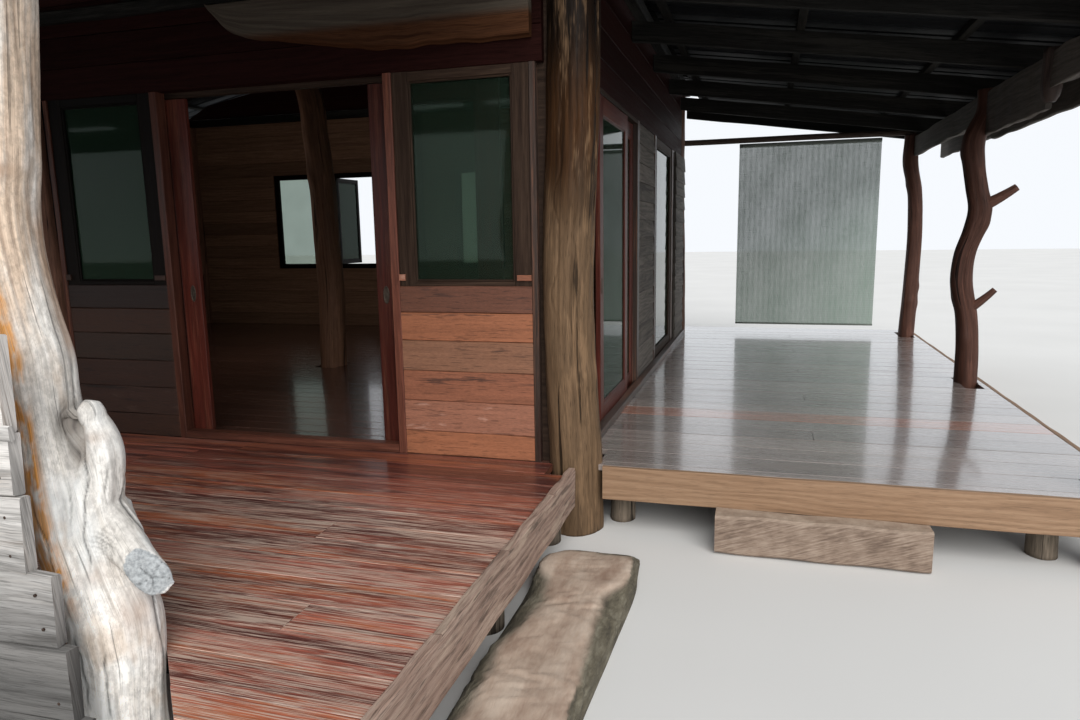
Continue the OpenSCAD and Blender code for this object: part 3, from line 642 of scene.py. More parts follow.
@cache
def orange_edge():
    """Edge boards of the terrace: light orange brown, fine grained, with slow ovals in the figure."""
    return wood("terrace_edge_board", (0.17, 0.098, 0.054), (0.25, 0.150, 0.087), (0.32, 0.205, 0.125),
                fibre=1.5, rough=(0.55, 0.75), depth=0.0008, vary=0.15, figure=0.22, pores=0.3)


def left_bay_shade(look):
    """Painted shade: the left bay lies in the deepest shade, so its colour is darkened to near black."""
    look.dim(look.along(0, -2.72, -2.50) * 0.90 + 0.10)


TEAK = ((0.132, 0.052, 0.031), (0.245, 0.092, 0.050), (0.295, 0.110, 0.053), (0.220, 0.104, 0.060),
        (0.295, 0.124, 0.076))


@cache
def wall_wood():
    """Teak boards: the tone of each board picks its brown, with dark veins and dry patches, and painted shade
    that darkens the left bay.
    """
    def change(look):
        net = look.net
        board = net.ramp(look.tone, *zip((0.1, 0.3, 0.5, 0.7, 0.9), TEAK))
        mottle = net.grain(look.p, (45, 150, 1), 3.0, 0.7)
        look.colour = net.shade(board, look.streak * 0.9 + look.fine * 0.4 + mottle * 0.8 - 0.05)
        fleck = net.grain(look.p, (9, 120, 1), 2.0, 0.6)
        look.dim(1.0 - net.step(fleck, 0.58, 0.68) * 0.45)
        dry = net.step(net.grain(look.p, (5, 18, 1), 3.0, 0.6), 0.58, 0.68)
        dry = dry * net.step(look.tone, 0.82, 0.86)
        look.cover(dry * look.fine * 0.8, (0.60, 0.36, 0.28))
        worn(look, (0.040, 0.020, 0.015), 0.8, (1.6, 16, 1), 0.575, 0.62, 0.0)
        # Painted shade: darkens the boards of the left bay to near black.
        left_bay_shade(look)
    return wood("teak_wall_boards", *TEAK[:3], fibre=1.3, rough=(0.5, 0.7),
                depth=0.0009, vary=0.0, figure=0.15, pores=0.3, change=change)


@cache
def dark_wood():
    """Boards of the rear and left walls, brown inside the room and weathered outside."""
    return wood("aged_dark_boards", (0.10, 0.055, 0.035), (0.17, 0.095, 0.06), (0.24, 0.14, 0.09),
                rough=(0.5, 0.7), depth=0.001, vary=0.5, figure=0.15, specular=0.15)


@cache
def header_wood():
    """Nearly black boards over the doors and windows."""
    return wood("dark_header_boards", *shades("header_colour", 0.6, 1.5), rough=(0.5, 0.7), depth=0.001,
                vary=0.5, figure=0.15, specular=0.03)


@cache
def lintel_wood():
    """The rough board over the door: brown and oily, grey with dust along its upper half."""
    def change(look):
        net = look.net
        dusty = look.along(2, 2.82, 2.88)
        worn(look, (0.095, 0.040, 0.018), 0.6, (0.8, 10, 1), 0.5, 0.6, 0.0)
        look.cover(dusty * 0.85, net.ramp(look.streak, (0.3, (0.05, 0.042, 0.034)),
                                          (0.7, (0.10, 0.088, 0.07))))
    return wood("oily_door_beam", (0.028, 0.011, 0.005), (0.055, 0.022, 0.010), (0.085, 0.037, 0.018),
                rough=(0.6, 0.8), depth=0.0012, vary=0.0, figure=0.2, specular=0.06, change=change)


@cache
def plank_wood():
    """Silver grey parapet planks with dark grain and warmer patches, painted shade on the lower planks and a
    painted highlight on the top ones.
    """
    def change(look):
        # Painted shade: the lower planks are darkened, down to about a fifth at the foot.
        low = look.along(2, 0.95, 0.45)
        worn(look, (0.60, 0.575, 0.55), 0.7, (0.8, 6, 1), 0.47, 0.58, 0.0)
        worn(look, (0.24, 0.17, 0.12), 0.4, (0.7, 5, 1), 0.53, 0.64, 0.0)
        worn(look, (0.09, 0.080, 0.072), 0.6, (0.9, 16, 1), 0.545, 0.62, 0.0)
        # Painted highlight: the top planks are brightened by up to a third.
        high = look.along(2, 1.02, 1.16)
        look.dim(1.0 + high * 0.35 - low * 0.79)
    return wood("silver_parapet_planks", (0.20, 0.19, 0.18), (0.40, 0.385, 0.37), (0.58, 0.565, 0.55),
                fibre=0.9, rough=(0.7, 0.9), depth=0.002, vary=0.35, pores=0.3, change=change)


@cache
def grey_wood():
    """Narrow boards of the side wall, grey brown."""
    def change(look):
        worn(look, (0.20, 0.175, 0.155), 0.6, (0.8, 6, 1), 0.5, 0.6, 0.0)
        worn(look, (0.030, 0.026, 0.024), 0.7, (0.7, 16, 1), 0.53, 0.6, 0.0)
    return wood("weathered_side_boards", *shades("grey_colour", 0.55, 1.5), fibre=0.9, rough=(0.7, 0.9),
                depth=0.0015, vary=0.45, pores=0.3, specular=0.3, change=change)


@cache
def red_joinery(leaf=False):
    """Varnished joinery, worn in fine streaks: the leaves deep red, the posts browner, dark by the corner and
    darkened towards the left bay as painted shade.
    """
    def change(look):
        net = look.net
        if not leaf:
            corner = look.along(0, -0.44, -0.38)
            look.cover(corner, net.ramp(look.streak, (0.3, (0.028, 0.019, 0.015)),
                                        (0.7, (0.070, 0.050, 0.042))))
            # Painted shade: the posts darken towards the left bay.
            look.dim(look.along(0, -2.65, -2.0) * 0.45 + 0.55)
        worn(look, (0.22, 0.095, 0.055), 0.35 if leaf else 0.5, (0.8, 14, 1), 0.51, 0.62, 0.1)
        worn(look, (0.022, 0.007, 0.005), 0.6, (0.7, 10, 1), 0.52, 0.62, 0.0)
    name, tint = ("varnished_leaves", "leaf_colour") if leaf else ("varnished_posts", "joinery_colour")
    return wood(name, *shades(tint, 0.6, 1.6), fibre=1.2, rough=(0.32, 0.5), depth=0.0005,
                coat=0.12 if leaf else 0.1, coat_rough=0.2, vary=0.5, figure=0.15, specular=0.15,
                change=change)


@cache
def brown_joinery():
    """Dark brown window frames, rails and strips, darkened in the left bay as painted shade."""
    # The change darkens the frames of the left bay as painted shade.
    return wood("brown_window_frames", (0.016, 0.009, 0.006), (0.032, 0.019, 0.013), (0.060, 0.038, 0.026),
                rough=(0.5, 0.7), depth=0.0006, vary=0.4, figure=0.15, specular=0.10, change=left_bay_shade)


@cache
def beam_wood():
    """Sawn roof timbers, dark, with dust in the grain."""
    def change(look):
        worn(look, (0.045, 0.042, 0.036), 0.5, (0.7, 7, 1), 0.5, 0.62, 0.0)
    return wood("dusty_sawn_beams", *shades("beam_colour", 0.6, 1.5), rough=(0.65, 0.85), depth=0.0015,
                vary=0.5, figure=0.15, specular=0.06, change=change)


@cache
def eave_wood():
    """Dusty grey brown planks under the eave."""
    def change(look):
        worn(look, (0.13, 0.115, 0.10), 0.6, (0.6, 5, 1), 0.49, 0.62, 0.0)
    return wood("grey_brown_eave_planks", (0.035, 0.030, 0.026), (0.075, 0.064, 0.054),
                (0.13, 0.112, 0.096), rough=(0.7, 0.9), depth=0.0015, vary=0.3, figure=0.15, specular=0.3,
                change=change)


@cache
def log_wood(name, colour, gloss=0.5, upper=None):
    """Oiled log with long drying cracks. upper is the colour that it turns to over head height, painted shade
    under the roof, and higher still it is darkened further as painted shade.
    """
    def change(look):
        net = look.net
        if upper:
            dark, _, light = shades(upper, 0.5, 1.6)
            # Painted shade under the roof: the upper colour from 1.6 m up, and darker still from 2.25 m.
            look.cover(look.along(2, 1.6, 2.1), net.ramp(look.streak, (0.3, dark), (0.7, light)))
            look.dim(1.0 - look.along(2, 2.25, 2.8) * 0.85)
        crack = net.step(net.grain(look.p, (0.9, 26, 1), 2.0, 0.5, 0.4), 0.64, 0.68)
        look.dim(1.0 - crack * 0.8)
        look.height = look.height - crack * 2.0
        worn(look, tuple(0.35 * v for v in colour), 0.6, (1.0, 5, 1), 0.5, 0.64, 0.0)
        worn(look, tuple(min(1.0, 2.4 * v) for v in colour), 0.35, (3.0, 14, 1), 0.53, 0.62, 0.1)
    return wood(name, *shades(colour, 0.6, 1.45), fibre=0.9, rough=(gloss - 0.08, gloss + 0.15),
                depth=0.002, vary=0.3, figure=0.15, specular=0.13, change=change)


@cache
def metal(name, colour):
    """Dull metal with a fine mottle."""
    net = Net(name)
    spot = net.place()
    mottle = net.noise(spot, 60.0, 3.0)
    tint = net.ramp(mottle, (0.3, tuple(0.6 * v for v in colour)), (0.7, tuple(1.2 * v for v in colour)))
    return net.finish(tint, mottle * 0.3 + 0.35, mottle, 0.0004, metal=0.85)


@cache
def sheet_steel():
    """Ribbed sheet: dull zinc with long stains down the fall above, and painted shade that turns it near
    black below, six times lighter inside the room.
    """
    net = Net("ribbed_sheet_steel")
    spot = net.place()
    stain = net.grain(spot, (2.2, 2.2, 1), 4.0, 0.6)
    spangle = net.noise(spot, 45.0, 2.0)
    dust = net.step(net.noise(spot, 1.3, 3.0, 0.6), 0.45, 0.7)
    # Painted shade: faces that look down take the near black colour.
    under = net.step(net.upward(), 0.1, -0.1)
    tint = net.ramp(stain * 0.7 + spangle * 0.3, (0.3, (0.24, 0.25, 0.26)), (0.5, (0.42, 0.43, 0.43)),
                    (0.7, (0.52, 0.53, 0.53)))
    tint = net.mix(dust * 0.4, tint, (0.30, 0.26, 0.21))
    painted_shade_below = net.ramp(stain * 0.5 + spangle * 0.5, (0.35, (0.003, 0.0035, 0.0045)),
                    (0.65, (0.010, 0.011, 0.012)))
    # The painted shade below is six times lighter inside the room.
    room = net.step(net.part(spot, 1), 0.05, 0.25) * net.step(net.part(spot, 0), 0.0, -0.2)
    painted_shade_below = net.shade(painted_shade_below, room * 5.0 + 1.0)
    return net.finish(net.mix(under, tint, painted_shade_below), dust * 0.2 + 0.58, spangle, 0.0003,
                      metal=(1.0 - under) * 0.35, specular=0.08)


@cache
def window_glass():
    """Thin greenish pane: a tinted see-through surface, with a gloss that grows at flat angles."""
    net = Net("window_glass")
    spot = net.place()
    haze = net.noise(spot, 3.0, 3.0)
    body = net.node("BsdfPrincipled", {"Base Color": (0.035, 0.060, 0.042, 1),
                                       "Roughness": haze * 0.05 + 0.02, "Specular IOR Level": 0.9,
                                       "Specular Tint": (0.78, 0.95, 0.82, 1)})
    clear = net.node("BsdfTransparent", [(0.66, 0.72, 0.67, 1)])
    gloss = net.node("Fresnel", {"IOR": 1.5})
    share = net.limit(gloss * 1.3 + haze * 0.1 + 0.12)
    net.node("OutputMaterial", [net.node("MixShader", [share, clear, body])])
    return net.owner


def length(name, default, low, high, text):
    """A setting in metres."""
    return FloatProperty(name=name, description=text, default=default, min=low, max=high, unit="LENGTH")


def colour(name, default, text):
    """A setting for a colour."""
    return FloatVectorProperty(name=name, description=text, subtype="COLOR", size=3, min=0, max=1,
                               default=default)


class VerandaHouseSettings(bpy.types.PropertyGroup):
    """Sizes and colours that a user may change."""
    deck_pitch: length("Deck board", 0.183, 0.08, 0.3, "Width of a front deck board with its joint")
    terrace_pitch: length("Terrace board", 0.24, 0.08, 0.4, "Width of a terrace board with its joint")
    floor_pitch: length("Floor board", 0.165, 0.08, 0.3, "Width of a board of the room's floor")
    joint: length("Joint", 0.003, 0.001, 0.01, "Gap between two floor boards")
    wall_pitch: length("Wall board", 0.17, 0.08, 0.3, "Height of a course of wall boards")
    deck_colour: colour("Deck", (0.28, 0.083, 0.056), "Oil on the front deck's boards")
    terrace_colour: colour("Terrace", (0.255, 0.215, 0.198), "Terrace boards")
    floor_colour: colour("Floor", (0.075, 0.035, 0.026), "Floor boards of the room")
    header_colour: colour("Header", (0.018, 0.0056, 0.0048), "Boards over the doors and windows")
    grey_colour: colour("Side boards", (0.105, 0.092, 0.080), "Narrow boards of the side wall")
    joinery_colour: colour("Joinery", (0.130, 0.046, 0.030), "Posts and sills")
    leaf_colour: colour("Leaves", (0.068, 0.015, 0.010), "Sliding leaves")
    beam_colour: colour("Beams", (0.013, 0.0125, 0.0115), "Beams and rafters")
    log_colour: colour("Corner log", (0.125, 0.078, 0.044), "Corner log")
    post_colour: colour("Veranda posts", (0.075, 0.034, 0.024), "Veranda posts")


class Piece(bpy.types.Operator):
    """Shared settings of the operators that build the house."""
    bl_idname = "veranda_house.piece"
    bl_label = "Piece"
    bl_options = {"REGISTER", "UNDO"}

    def execute(self, context):
        self.build()
        return {"FINISHED"}

    def build(self):
        raise RuntimeError("this operator builds nothing")


def log_spots():
    """Centre and radius at floor height of each log that stands through the floors."""
    spots = [(-0.902, PORCH_Y, 0.145)] + [(x, PORCH_Y, 0.15) for x in PORCH_LEFT]
    spots += [(x, 0, LOG_HOLE) for x in (0, -BAY, -HOUSE)]
    spots += [(x, ROOM, LOG_HOLE) for x in (-REAR_INSET, -BAY, -HOUSE)]
    spots.append((-BAY + 0.5, 2.7, 0.115))
    return spots


class FrontDeck(Piece):
    """Lays the front deck's boards and its edge boards."""
    bl_idname, bl_label = "veranda_house.front_deck", "Front deck"

    def build(self):
        skin = Skin(11)
        edges = courses(DECK_LOW[1], DECK_HIGH[1], setting("deck_pitch"), -1.192)

        def joints(row):
            shown = {3: [-0.519], 7: [-0.849]}
            return sorted(shown.get(row, []) + list(-1.9 - ((row * 1.37) % 1.6) - 1.9 * np.arange(3)))
        lay_floor(skin, (DECK_LOW[0], DECK_HIGH[0]), edges, log_spots(), joints,
                  [(-1.04, -.515, -.967, DECK_LOW[1], -2.11)])
        skin.make("front_deck_boards", deck_wood(), ["front_deck"])
        edge = Skin(12)
        for corners in solids("front_deck_edges"):
            start, end = ends(corners)
            run, pieces = end - start, [(start, end)]
            if np.ptp(corners[:, 0]) > 3:
                at = [start + run * ((x - start[:, :1]) / run[:, :1]) for x in (-1.05, -.47)]
                pieces = [(start, at[0]), (at[1], end)] if run[0, 0] > 0 else [(start, at[1]), (at[0], end)]
            for a, b in pieces:
                edge.timber(a, b, 0.006, stations=max(2, round(np.linalg.norm((b - a)[0]) / 0.08)),
                            wander=0.003, turns=(0.3, 3.0))
        edge.make("front_deck_edge_boards", grey_edge(), ["front_deck_edges"])
        trim = Skin(13)
        x, y0, y1 = DECK_HIGH[0], DECK_LOW[1] - 0.03, -0.17
        cuts = [y0, -2.02, -1.33, -0.62, y1]
        trim.boards((x - 0.004, 0, FLOOR - 0.003), Y, X, Z,
                    [rect(a + 0.001, b - 0.001, 0, 0.037) for a, b in zip(cuts[:-1], cuts[1:])],
                    (0.012, 0.012), 0.003, stations=28, wander=0.0022, turns=(0.6, 5))
        trim.make("front_deck_edge_strip", grey_edge())


class SideTerrace(Piece):
    """Lays the terrace boards, their edge boards and the timber step."""
    bl_idname, bl_label = "veranda_house.side_terrace", "Side terrace"

    def build(self):
        skin = Skin(21)
        edges = courses(TERRACE_LOW[1], TERRACE_HIGH[1], setting("terrace_pitch"), 0.03)
        posts = [(POST_X, y, 0.08) for y in POST_Y] + [(0, 0, LOG_HOLE), (-REAR_INSET, ROOM, LOG_HOLE)]
        lay_floor(skin, (TERRACE_LOW[0], TERRACE_HIGH[0]), edges, posts,
                  lambda row: [1.34] if row % 5 == 4 else [],
                  tint=lambda y: np.where(abs(y - 1.35) < .12, .92, (y * 7.31 + (y > 4)) % .78))
        skin.make("terrace_boards", terrace_wood(), ["terrace_deck"])
        dress(["terrace_edges"], "terrace_edge_boards", orange_edge(), 22, 0.004, 0.0015,
              0.12)
        slab = Skin(23)
        low, high = box("step_slab")
        slab.boards((low[0], low[1], low[2] + .008), X, Y, Z,
                    [rect(0, high[0] - low[0], 0.012, high[1] - low[1])], (high[2] - low[2] - .004,) * 2,
                    0.012, stations=24, wander=0.004, turns=(0.5, 3))
        slab.make("timber_step", step_wood(), ["step_slab"])


@cache
def step_wood():
    """Timber step: slanting veins, with paler weathered faces on top."""
    def change(look):
        net = look.net
        x, y, z = (net.part(look.spot, n) for n in range(3))
        slant = net.vector(x * 1.0 + z * 2.2, z * 1.0 - x * 0.35, y)
        veins = net.grain(slant, (5, 120, 40), 3.0, 0.65)
        blotch = net.noise(look.spot, 9.0, 3.0, 0.6)
        veins = veins * 0.6 + blotch * 0.4
        look.cover(0.8, net.ramp(veins, (0.38, (0.12, 0.08, 0.058)), (0.5, (0.25, 0.18, 0.135)),
                                 (0.62, (0.36, 0.28, 0.22))))
        upper = net.step(net.upward(), 0.6, 0.8)
        look.cover(upper * 0.7, net.ramp(blotch, (0.35, (0.33, 0.25, 0.19)), (0.65, (0.47, 0.38, 0.30))))
        look.height = look.height * 0.3 + veins
    return wood("step_timber", (0.1, 0.07, 0.055), (0.2, 0.15, 0.12), (0.3, 0.24, 0.19), rough=(0.7, 0.9),
                depth=0.003, change=change)


class RoomFloor(Piece):
    """Lays the boards of the room's floor."""
    bl_idname, bl_label = "veranda_house.room_floor", "Room floor"

    def build(self):
        skin = Skin(31)
        low, high = box("room_floor")
        lay_floor(skin, (low[0], high[0]), courses(low[1], high[1], setting("floor_pitch")), log_spots(),
                  lambda row: list(-0.9 - ((row * 1.13) % 1.5) - 2.4 * np.arange(3)))
        skin.make("room_floor_boards", floor_wood(), ["room_floor"])


class Underfloor(Piece):
    """Shapes the bearers and joists, and the round stilts with their own bends."""
    bl_idname, bl_label = "veranda_house.underfloor", "Bearers and stilts"

    def build(self):
        dress(["floor_beams"], "bearers_and_joists", beam_wood(), 41, 0.004, 0.002, 0.6)
        skin = Skin(42)
        for low, high in boxes("stilts"):
            x, y = (low[:2] + high[:2]) / 2
            r = (high[0] - low[0]) / 2
            line = [(z, x + 0.004 * math.sin(9 * z + x), y, r * (1.0 - 0.06 * z / high[2]))
                    for z in np.linspace(0, high[2], 5)]
            skin.add(stem(line, 20, 9, skin.rng, 0.03, 0.006), smooth=True)
        skin.make("round_stilts", log_wood("stilt_timber", (0.16, 0.13, 0.10), 0.8),
                  ["stilts"])


class EdgeLog(Piece):
    """Shapes the old log along the deck's edge: a ring of six corners carried along Y and rounded."""
    bl_idname, bl_label = "veranda_house.edge_log", "Edge log"

    def build(self):
        line = np.array([[-2.47, .20, .15, .38, .41, .11], [-2.35, .14, .06, .43, .445, .13],
                         [-1.96, .12, -.02, .425, .44, .13], [-1.65, .105, -.03, .40, .446, .13],
                         [-1.53, .095, -.03, .39, .45, .13], [-1.39, .143, -.03, .378, .455, .13],
                         [-1.22, .172, -.03, .352, .459, .13], [-1.02, .15, -.03, .362, .466, .13],
                         [-.95, .12, -.03, .40, .468, .13], [-.85, .04, -.03, .445, .47, .13],
                         [-.70, .02, -.02, .442, .465, .13], [-.62, .065, 0, .44, .455, .12],
                         [-.43, .13, .06, .40, .438, .045]])
        c = curve(line, 200)
        y, top_l, foot_l, top_r, foot_r, h = (c[:, i] for i in range(6))
        corners = np.stack([columns(foot_l, y, 0), columns(foot_l + 0.3 * (top_l - foot_l), y, h * 0.65),
                            columns(top_l, y, h), columns(top_r, y, h), columns(foot_r, y, h * 0.5),
                            columns(foot_r, y, 0)], axis=1)
        side, share = np.divmod(np.arange(60), 10)
        share = (share / 10)[None, :, None]
        ring = corners[:, side] * (1 - share) + corners[:, (side + 1) % 6] * share
        for _ in range(3):
            smooth = (np.roll(ring, 1, axis=1) + 2 * ring + np.roll(ring, -1, axis=1)) / 4
            smooth[..., 2] = np.maximum(smooth[..., 2], 0.0)
            ring = np.where(ring[..., 2:] > 0.004, smooth, ring)
        rng = np.random.default_rng(51)
        a = circle(60)
        rough = np.zeros((200, 60))
        for turns, size in ((2, 0.004), (5, 0.003), (11, 0.002), (19, 0.0012)):
            wave = drift(rng, 2, (y + 3), turns * 0.4, turns * 1.3)
            rough += size * np.sin(turns * a[None] + wave[0][:, None] * 2) * (1 + 0.4 * wave[1][:, None])
        middle = ring.mean(axis=1, keepdims=True)
        away = unit(ring - middle)
        high = np.clip(ring[..., 2:] / 0.05, 0, 1)
        ring = ring + away * (rough[..., None] - 0.005) * high
        skin = Skin(52)
        skin.add(ring, 0.5, smooth=True, shift=False)
        skin.make("edge_log_timber", adzed_log(), ["edge_log"])


@cache
def adzed_log():
    """Old log: clean hewn wood on top, rough dark bark down its sides."""
    def change(look):
        net = look.net
        top = look.along(2, 0.095, 0.125)
        flecks = net.grain(look.spot, (9, 3, 9), 4.0, 0.65)
        clean = net.ramp(flecks, (0.3, (0.30, 0.205, 0.155)), (0.5, (0.48, 0.375, 0.30)),
                         (0.7, (0.62, 0.52, 0.43)))
        bark = net.grain(look.spot, (16, 5, 22), 5.0, 0.7)
        side = net.ramp(bark, (0.3, (0.042, 0.036, 0.026)), (0.5, (0.115, 0.100, 0.070)),
                        (0.7, (0.22, 0.20, 0.15)))
        look.colour = net.mix(top, side, net.mix(0.12, clean, look.colour))
        look.height = net.node("Mix", {0: top, 2: bark * 5.0, 3: flecks * 1.5 + look.fine * 0.4},
                               data_type="FLOAT")
        look.rough = top * -0.15 + 0.9
    return wood("adzed_old_log", (0.15, 0.09, 0.06), (0.3, 0.2, 0.13), (0.42, 0.3, 0.2), rough=(0.7, 0.9),
                depth=0.004, change=change)


class WallLogs(Piece):
    """Shapes the natural logs of the walls, the leaning log inside and the two left porch logs."""
    bl_idname, bl_label = "veranda_house.wall_logs", "Wall logs"

    def build(self):
        corner = Skin(61)
        line = [(0, 0, 0, .15), (.4, -.006, 0, .15), (.9, -.030, .005, .1425), (1.35, -.036, 0, .1395),
                (1.8, -.020, -.005, .141), (2.2, 0, 0, .144), (2.7, .005, .005, .1425), (3.35, 0, 0, .1395)]
        corner.add(stem(line, 128, 260, corner.rng, 0.05, 0.006,
                        [(1.9, -1.3, .09, .012), (2.5, -2.1, .07, .01), (0.9, -0.6, .08, .01)],
                        [(0.5, 2.6, -1.25, .005, .008), (1.2, 3.2, -1.9, .004, .007),
                         (0.5, 1.6, -0.9, .004, .006), (0.8, 3.0, -0.2, .005, .008)]), 0.5, smooth=True)
        # The corner log's near black top colour is painted shade under the roof.
        corner.make("corner_log_stem", log_wood("corner_log_timber", tuple(setting("log_colour")), 0.55,
                                                (0.040, 0.0165, 0.005)), ["corner_log"])
        skin = Skin(62)
        spots = [(-BAY, 0, -BAY * 1000 / 20), (-HOUSE, 0, -HOUSE * 1000 / 20)]
        spots += [(x, ROOM, 60 + x * 1000 / 15) for x in (-REAR_INSET, -BAY, -HOUSE)]
        for x, y, phase in spots:
            t = np.linspace(0, 1, 9)
            turn = math.radians(phase)
            line = columns(LOG_TOP * t, x + .008 * (np.sin(math.pi * t + turn) - math.sin(turn)),
                           y + .0048 * (np.sin(math.radians(220) * t + turn) - math.sin(turn)),
                           LOG * (1 - .1 * t))
            skin.add(stem(line, 64, 120, skin.rng, 0.05, 0.008, knots(skin.rng, .6, 3, 4, .08, .014)),
                     smooth=True)
        skin.make("wall_log_stems", log_wood("wall_log_timber", (0.12, 0.06, 0.04)), ["wall_logs"])
        inner = Skin(63)
        line = [(0, 0, .86), (.7, .020, .84), (1.3, .041, .84), (1.8, .023, .83), (2.2, .011, .82),
                (2.65, -.037, .81), (3, -.07, .81), (3.3, -.16, .8), (3.65, -.32, .8),
                (box("centre_log")[1][2], -.48, .8)]
        inner.add(stem([(z, -BAY + .5 + x, 2.7, LOG * r) for z, x, r in line], 64, 160, inner.rng, 0.05,
                       0.012, [(1.5, -1.2, .1, .02), (2.3, -2.2, .1, .02)]), smooth=True)
        inner.make("leaning_log_stem", log_wood("inner_log_timber", (0.15, 0.075, 0.045)),
                   ["centre_log"])
        left = Skin(64)
        under = box("porch_logs_left")[1][2]
        for x in PORCH_LEFT:
            t = np.linspace(0, 1, 8)
            first = x * 1000 / 9
            bend = np.sin(np.radians(200 * t + first)) - math.sin(math.radians(first))
            line = columns(under * t, x + .03 * bend, PORCH_Y + .012 * np.sin(np.radians(150 * t)),
                           .15 * (1 - .3 * t))
            left.add(stem(line, 64, 160, left.rng, 0.05, 0.006,
                          [(.9, -1.3, .12, .03), (1.7, -2.4, .1, .025), (2.2, -.6, .08, .02)]), smooth=True)
        left.make("left_porch_log_stems", bleached_wood(), ["porch_logs_left"])


class VerandaPosts(Piece):
    """Shapes the wavy veranda posts with the stubs of their cut branches."""
    bl_idname, bl_label = "veranda_house.veranda_posts", "Veranda posts"

    def build(self):
        skin = Skin(71)
        lines = [[(0, 10, 1), (.7, 0, .97), (1.3, -40, .92), (1.9, 10, .95), (2.4, -10, .95)],
                 [(0, -15, 1), (.42, -14, 1), (.95, -43, .95), (1.27, -103, .95), (1.48, -88, .92),
                  (1.685, -27, .95), (1.83, 1, 1), (2.0, -32, .93), (2.2, -66, .9), (2.4, -74, .95),
                  (2.5, -36, .95), (2.6, 5, .92)],
                 [(0, 15, 1), (.4, 18, 1), (1.08, 38, .95), (1.7, 45, .92), (2.15, 18, .9),
                  (2.44, -40, .95)]]
        top = box("veranda_posts")[1][2]
        for y, line in zip(POST_Y, lines):
            line = line + [(top, line[-1][1], .9)]
            line = [(z, POST_X + x / 1000, y, .088 * r) for z, x, r in line]
            skin.add(stem(line, 48, 200, skin.rng, 0.05, 0.012, knots(skin.rng, .7, 2.5, 5, .06, .012)),
                     smooth=True)
        for (x, y, z), (dx, dz), length, r in (((2.65, 2.93, 1.02), (0.75, 0.55), .24, .032),
                                               ((2.70, 2.93, 1.86), (0.85, 0.42), .27, .04)):
            t = np.linspace(0, 1, 14)
            path = columns(x + dx * length * t, y - 0.02 * t, z + dz * length * (t + 0.25 * t * t))
            skin.add(sweep(path, r * (1.25 - 0.5 * t), 24, skin.rng), smooth=True)
        skin.make("veranda_post_stems", log_wood("veranda_post_timber", tuple(setting("post_colour"))),
                  ["veranda_posts"])


def sweep(path, radius, sides, rng, rough=0.05):
    """Rings of a round branch along a path: each ring stands square to the path."""
    path = np.asarray(path, float)
    ahead = unit(np.gradient(path, axis=0))
    side = unit(np.cross(ahead, [0.21, 0.9, 0.38]))
    up = np.cross(side, ahead)
    a = circle(sides)
    r = np.broadcast_to(radius, len(path))[:, None] * np.ones((1, sides))
    for n in (2, 3, 5, 9):
        r = r * (1 + rough / n ** 0.5 * np.sin(n * a + rng.uniform(0, 6)))
    across = side[:, None] * (r * np.cos(a))[..., None]
    return path[:, None] + across + up[:, None] * (r * np.sin(a))[..., None]


# Porch log: height, x and radius of the stem, then x, y, height and radius of the sawn-off second stem
PORCH_Y = -2.39
STEM_GIRTH = 0.12
PORCH_MARKS = ("sap", "stain", "hollow", "face", "split", "lee")
PORCH_STEM = [(0, -.905, .125), (.2, -.905, .112), (.29, -.908, .121), (.43, -.898, .128),
              (.57, -.912, .134), (.70, -.962, .129), (.83, -1.008, .121), (.99, -1.034, .108),
              (1.1, -1.053, .098), (1.24, -1.070, .088), (1.37, -1.075, .087), (1.47, -1.102, .086),
              (1.59, -1.126, .085), (1.73, -1.141, .085), (1.82, -1.139, .086), (1.93, -1.118, .086),
              (2.04, -1.105, .086), (2.15, -1.092, .087), (2.25, -1.082, .088), (2.36, -1.070, .090)]
PORCH_SECOND = [(-.920, -2.390, .58, .060), (-.933, -2.383, .72, .066), (-.930, -2.375, .86, .063),
                (-.905, -2.374, .99, .058), (-.895, -2.374, 1.08, .052), (-.909, -2.374, 1.14, .045),
                (-.922, -2.374, 1.175, .038)]
PORCH_KNOB = [(-.924, -2.376, 1.150, .031), (-.925, -2.382, 1.178, .044), (-.920, -2.379, 1.203, .042),
              (-.916, -2.374, 1.228, .022)]
PORCH_WEB = [(-.940, -2.390, .55, .080), (-.955, -2.395, .70, .104), (-.962, -2.392, .84, .104),
             (-.965, -2.388, .95, .088), (-.970, -2.378, 1.04, .064), (-.985, -2.360, 1.12, .050),
             (-.990, -2.350, 1.19, .045)]
PORCH_BRANCH = [(-.925, -2.37, .865, .080), (-.865, -2.385, .820, .068), (-.805, -2.397, .765, .055),
                (-.690, -2.418, .672, .047)]
BRANCH_TIP, BRANCH_FACE = np.array([-.727, -2.412, .700]), np.array([.674, -.731, .102])

# Cracks: the points that one runs through, its width and depth
PORCH_CRACKS = (
    ([(-.878, -2.462, 1.115), (-.868, -2.475, .95), (-.878, -2.49, .82), (-.845, -2.51, .72)], .0025, .005),
    ([(-.82, -2.44, 1.06), (-.835, -2.45, .93)], .003, .004),
    ([(-.895, -2.50, .99), (-.905, -2.51, .86)], .0022, .003),
    ([(-1.06, -2.49, .95), (-1.02, -2.50, .80), (-.99, -2.50, .70)], .003, .004),
    ([(-1.10, -2.47, 1.35), (-1.105, -2.48, 1.02)], .003, .004),
    ([(-1.13, -2.47, 1.85), (-1.12, -2.47, 1.5)], .003, .004),
    ([(-.93, -2.52, .56), (-.92, -2.51, .28)], .003, .005),
    ([(-.85, -2.50, .50), (-.86, -2.49, .25)], .003, .005))
# Splits that follow the grain: low and high end, angle, width and depth
PORCH_SPLITS = ((.4, 1.8, 2.6, .005, .008), (.6, 2.4, 1.4, .005, .008),
                (1.3, 2.5, -2.3, .004, .006), (.3, 1.4, .3, .004, .006))


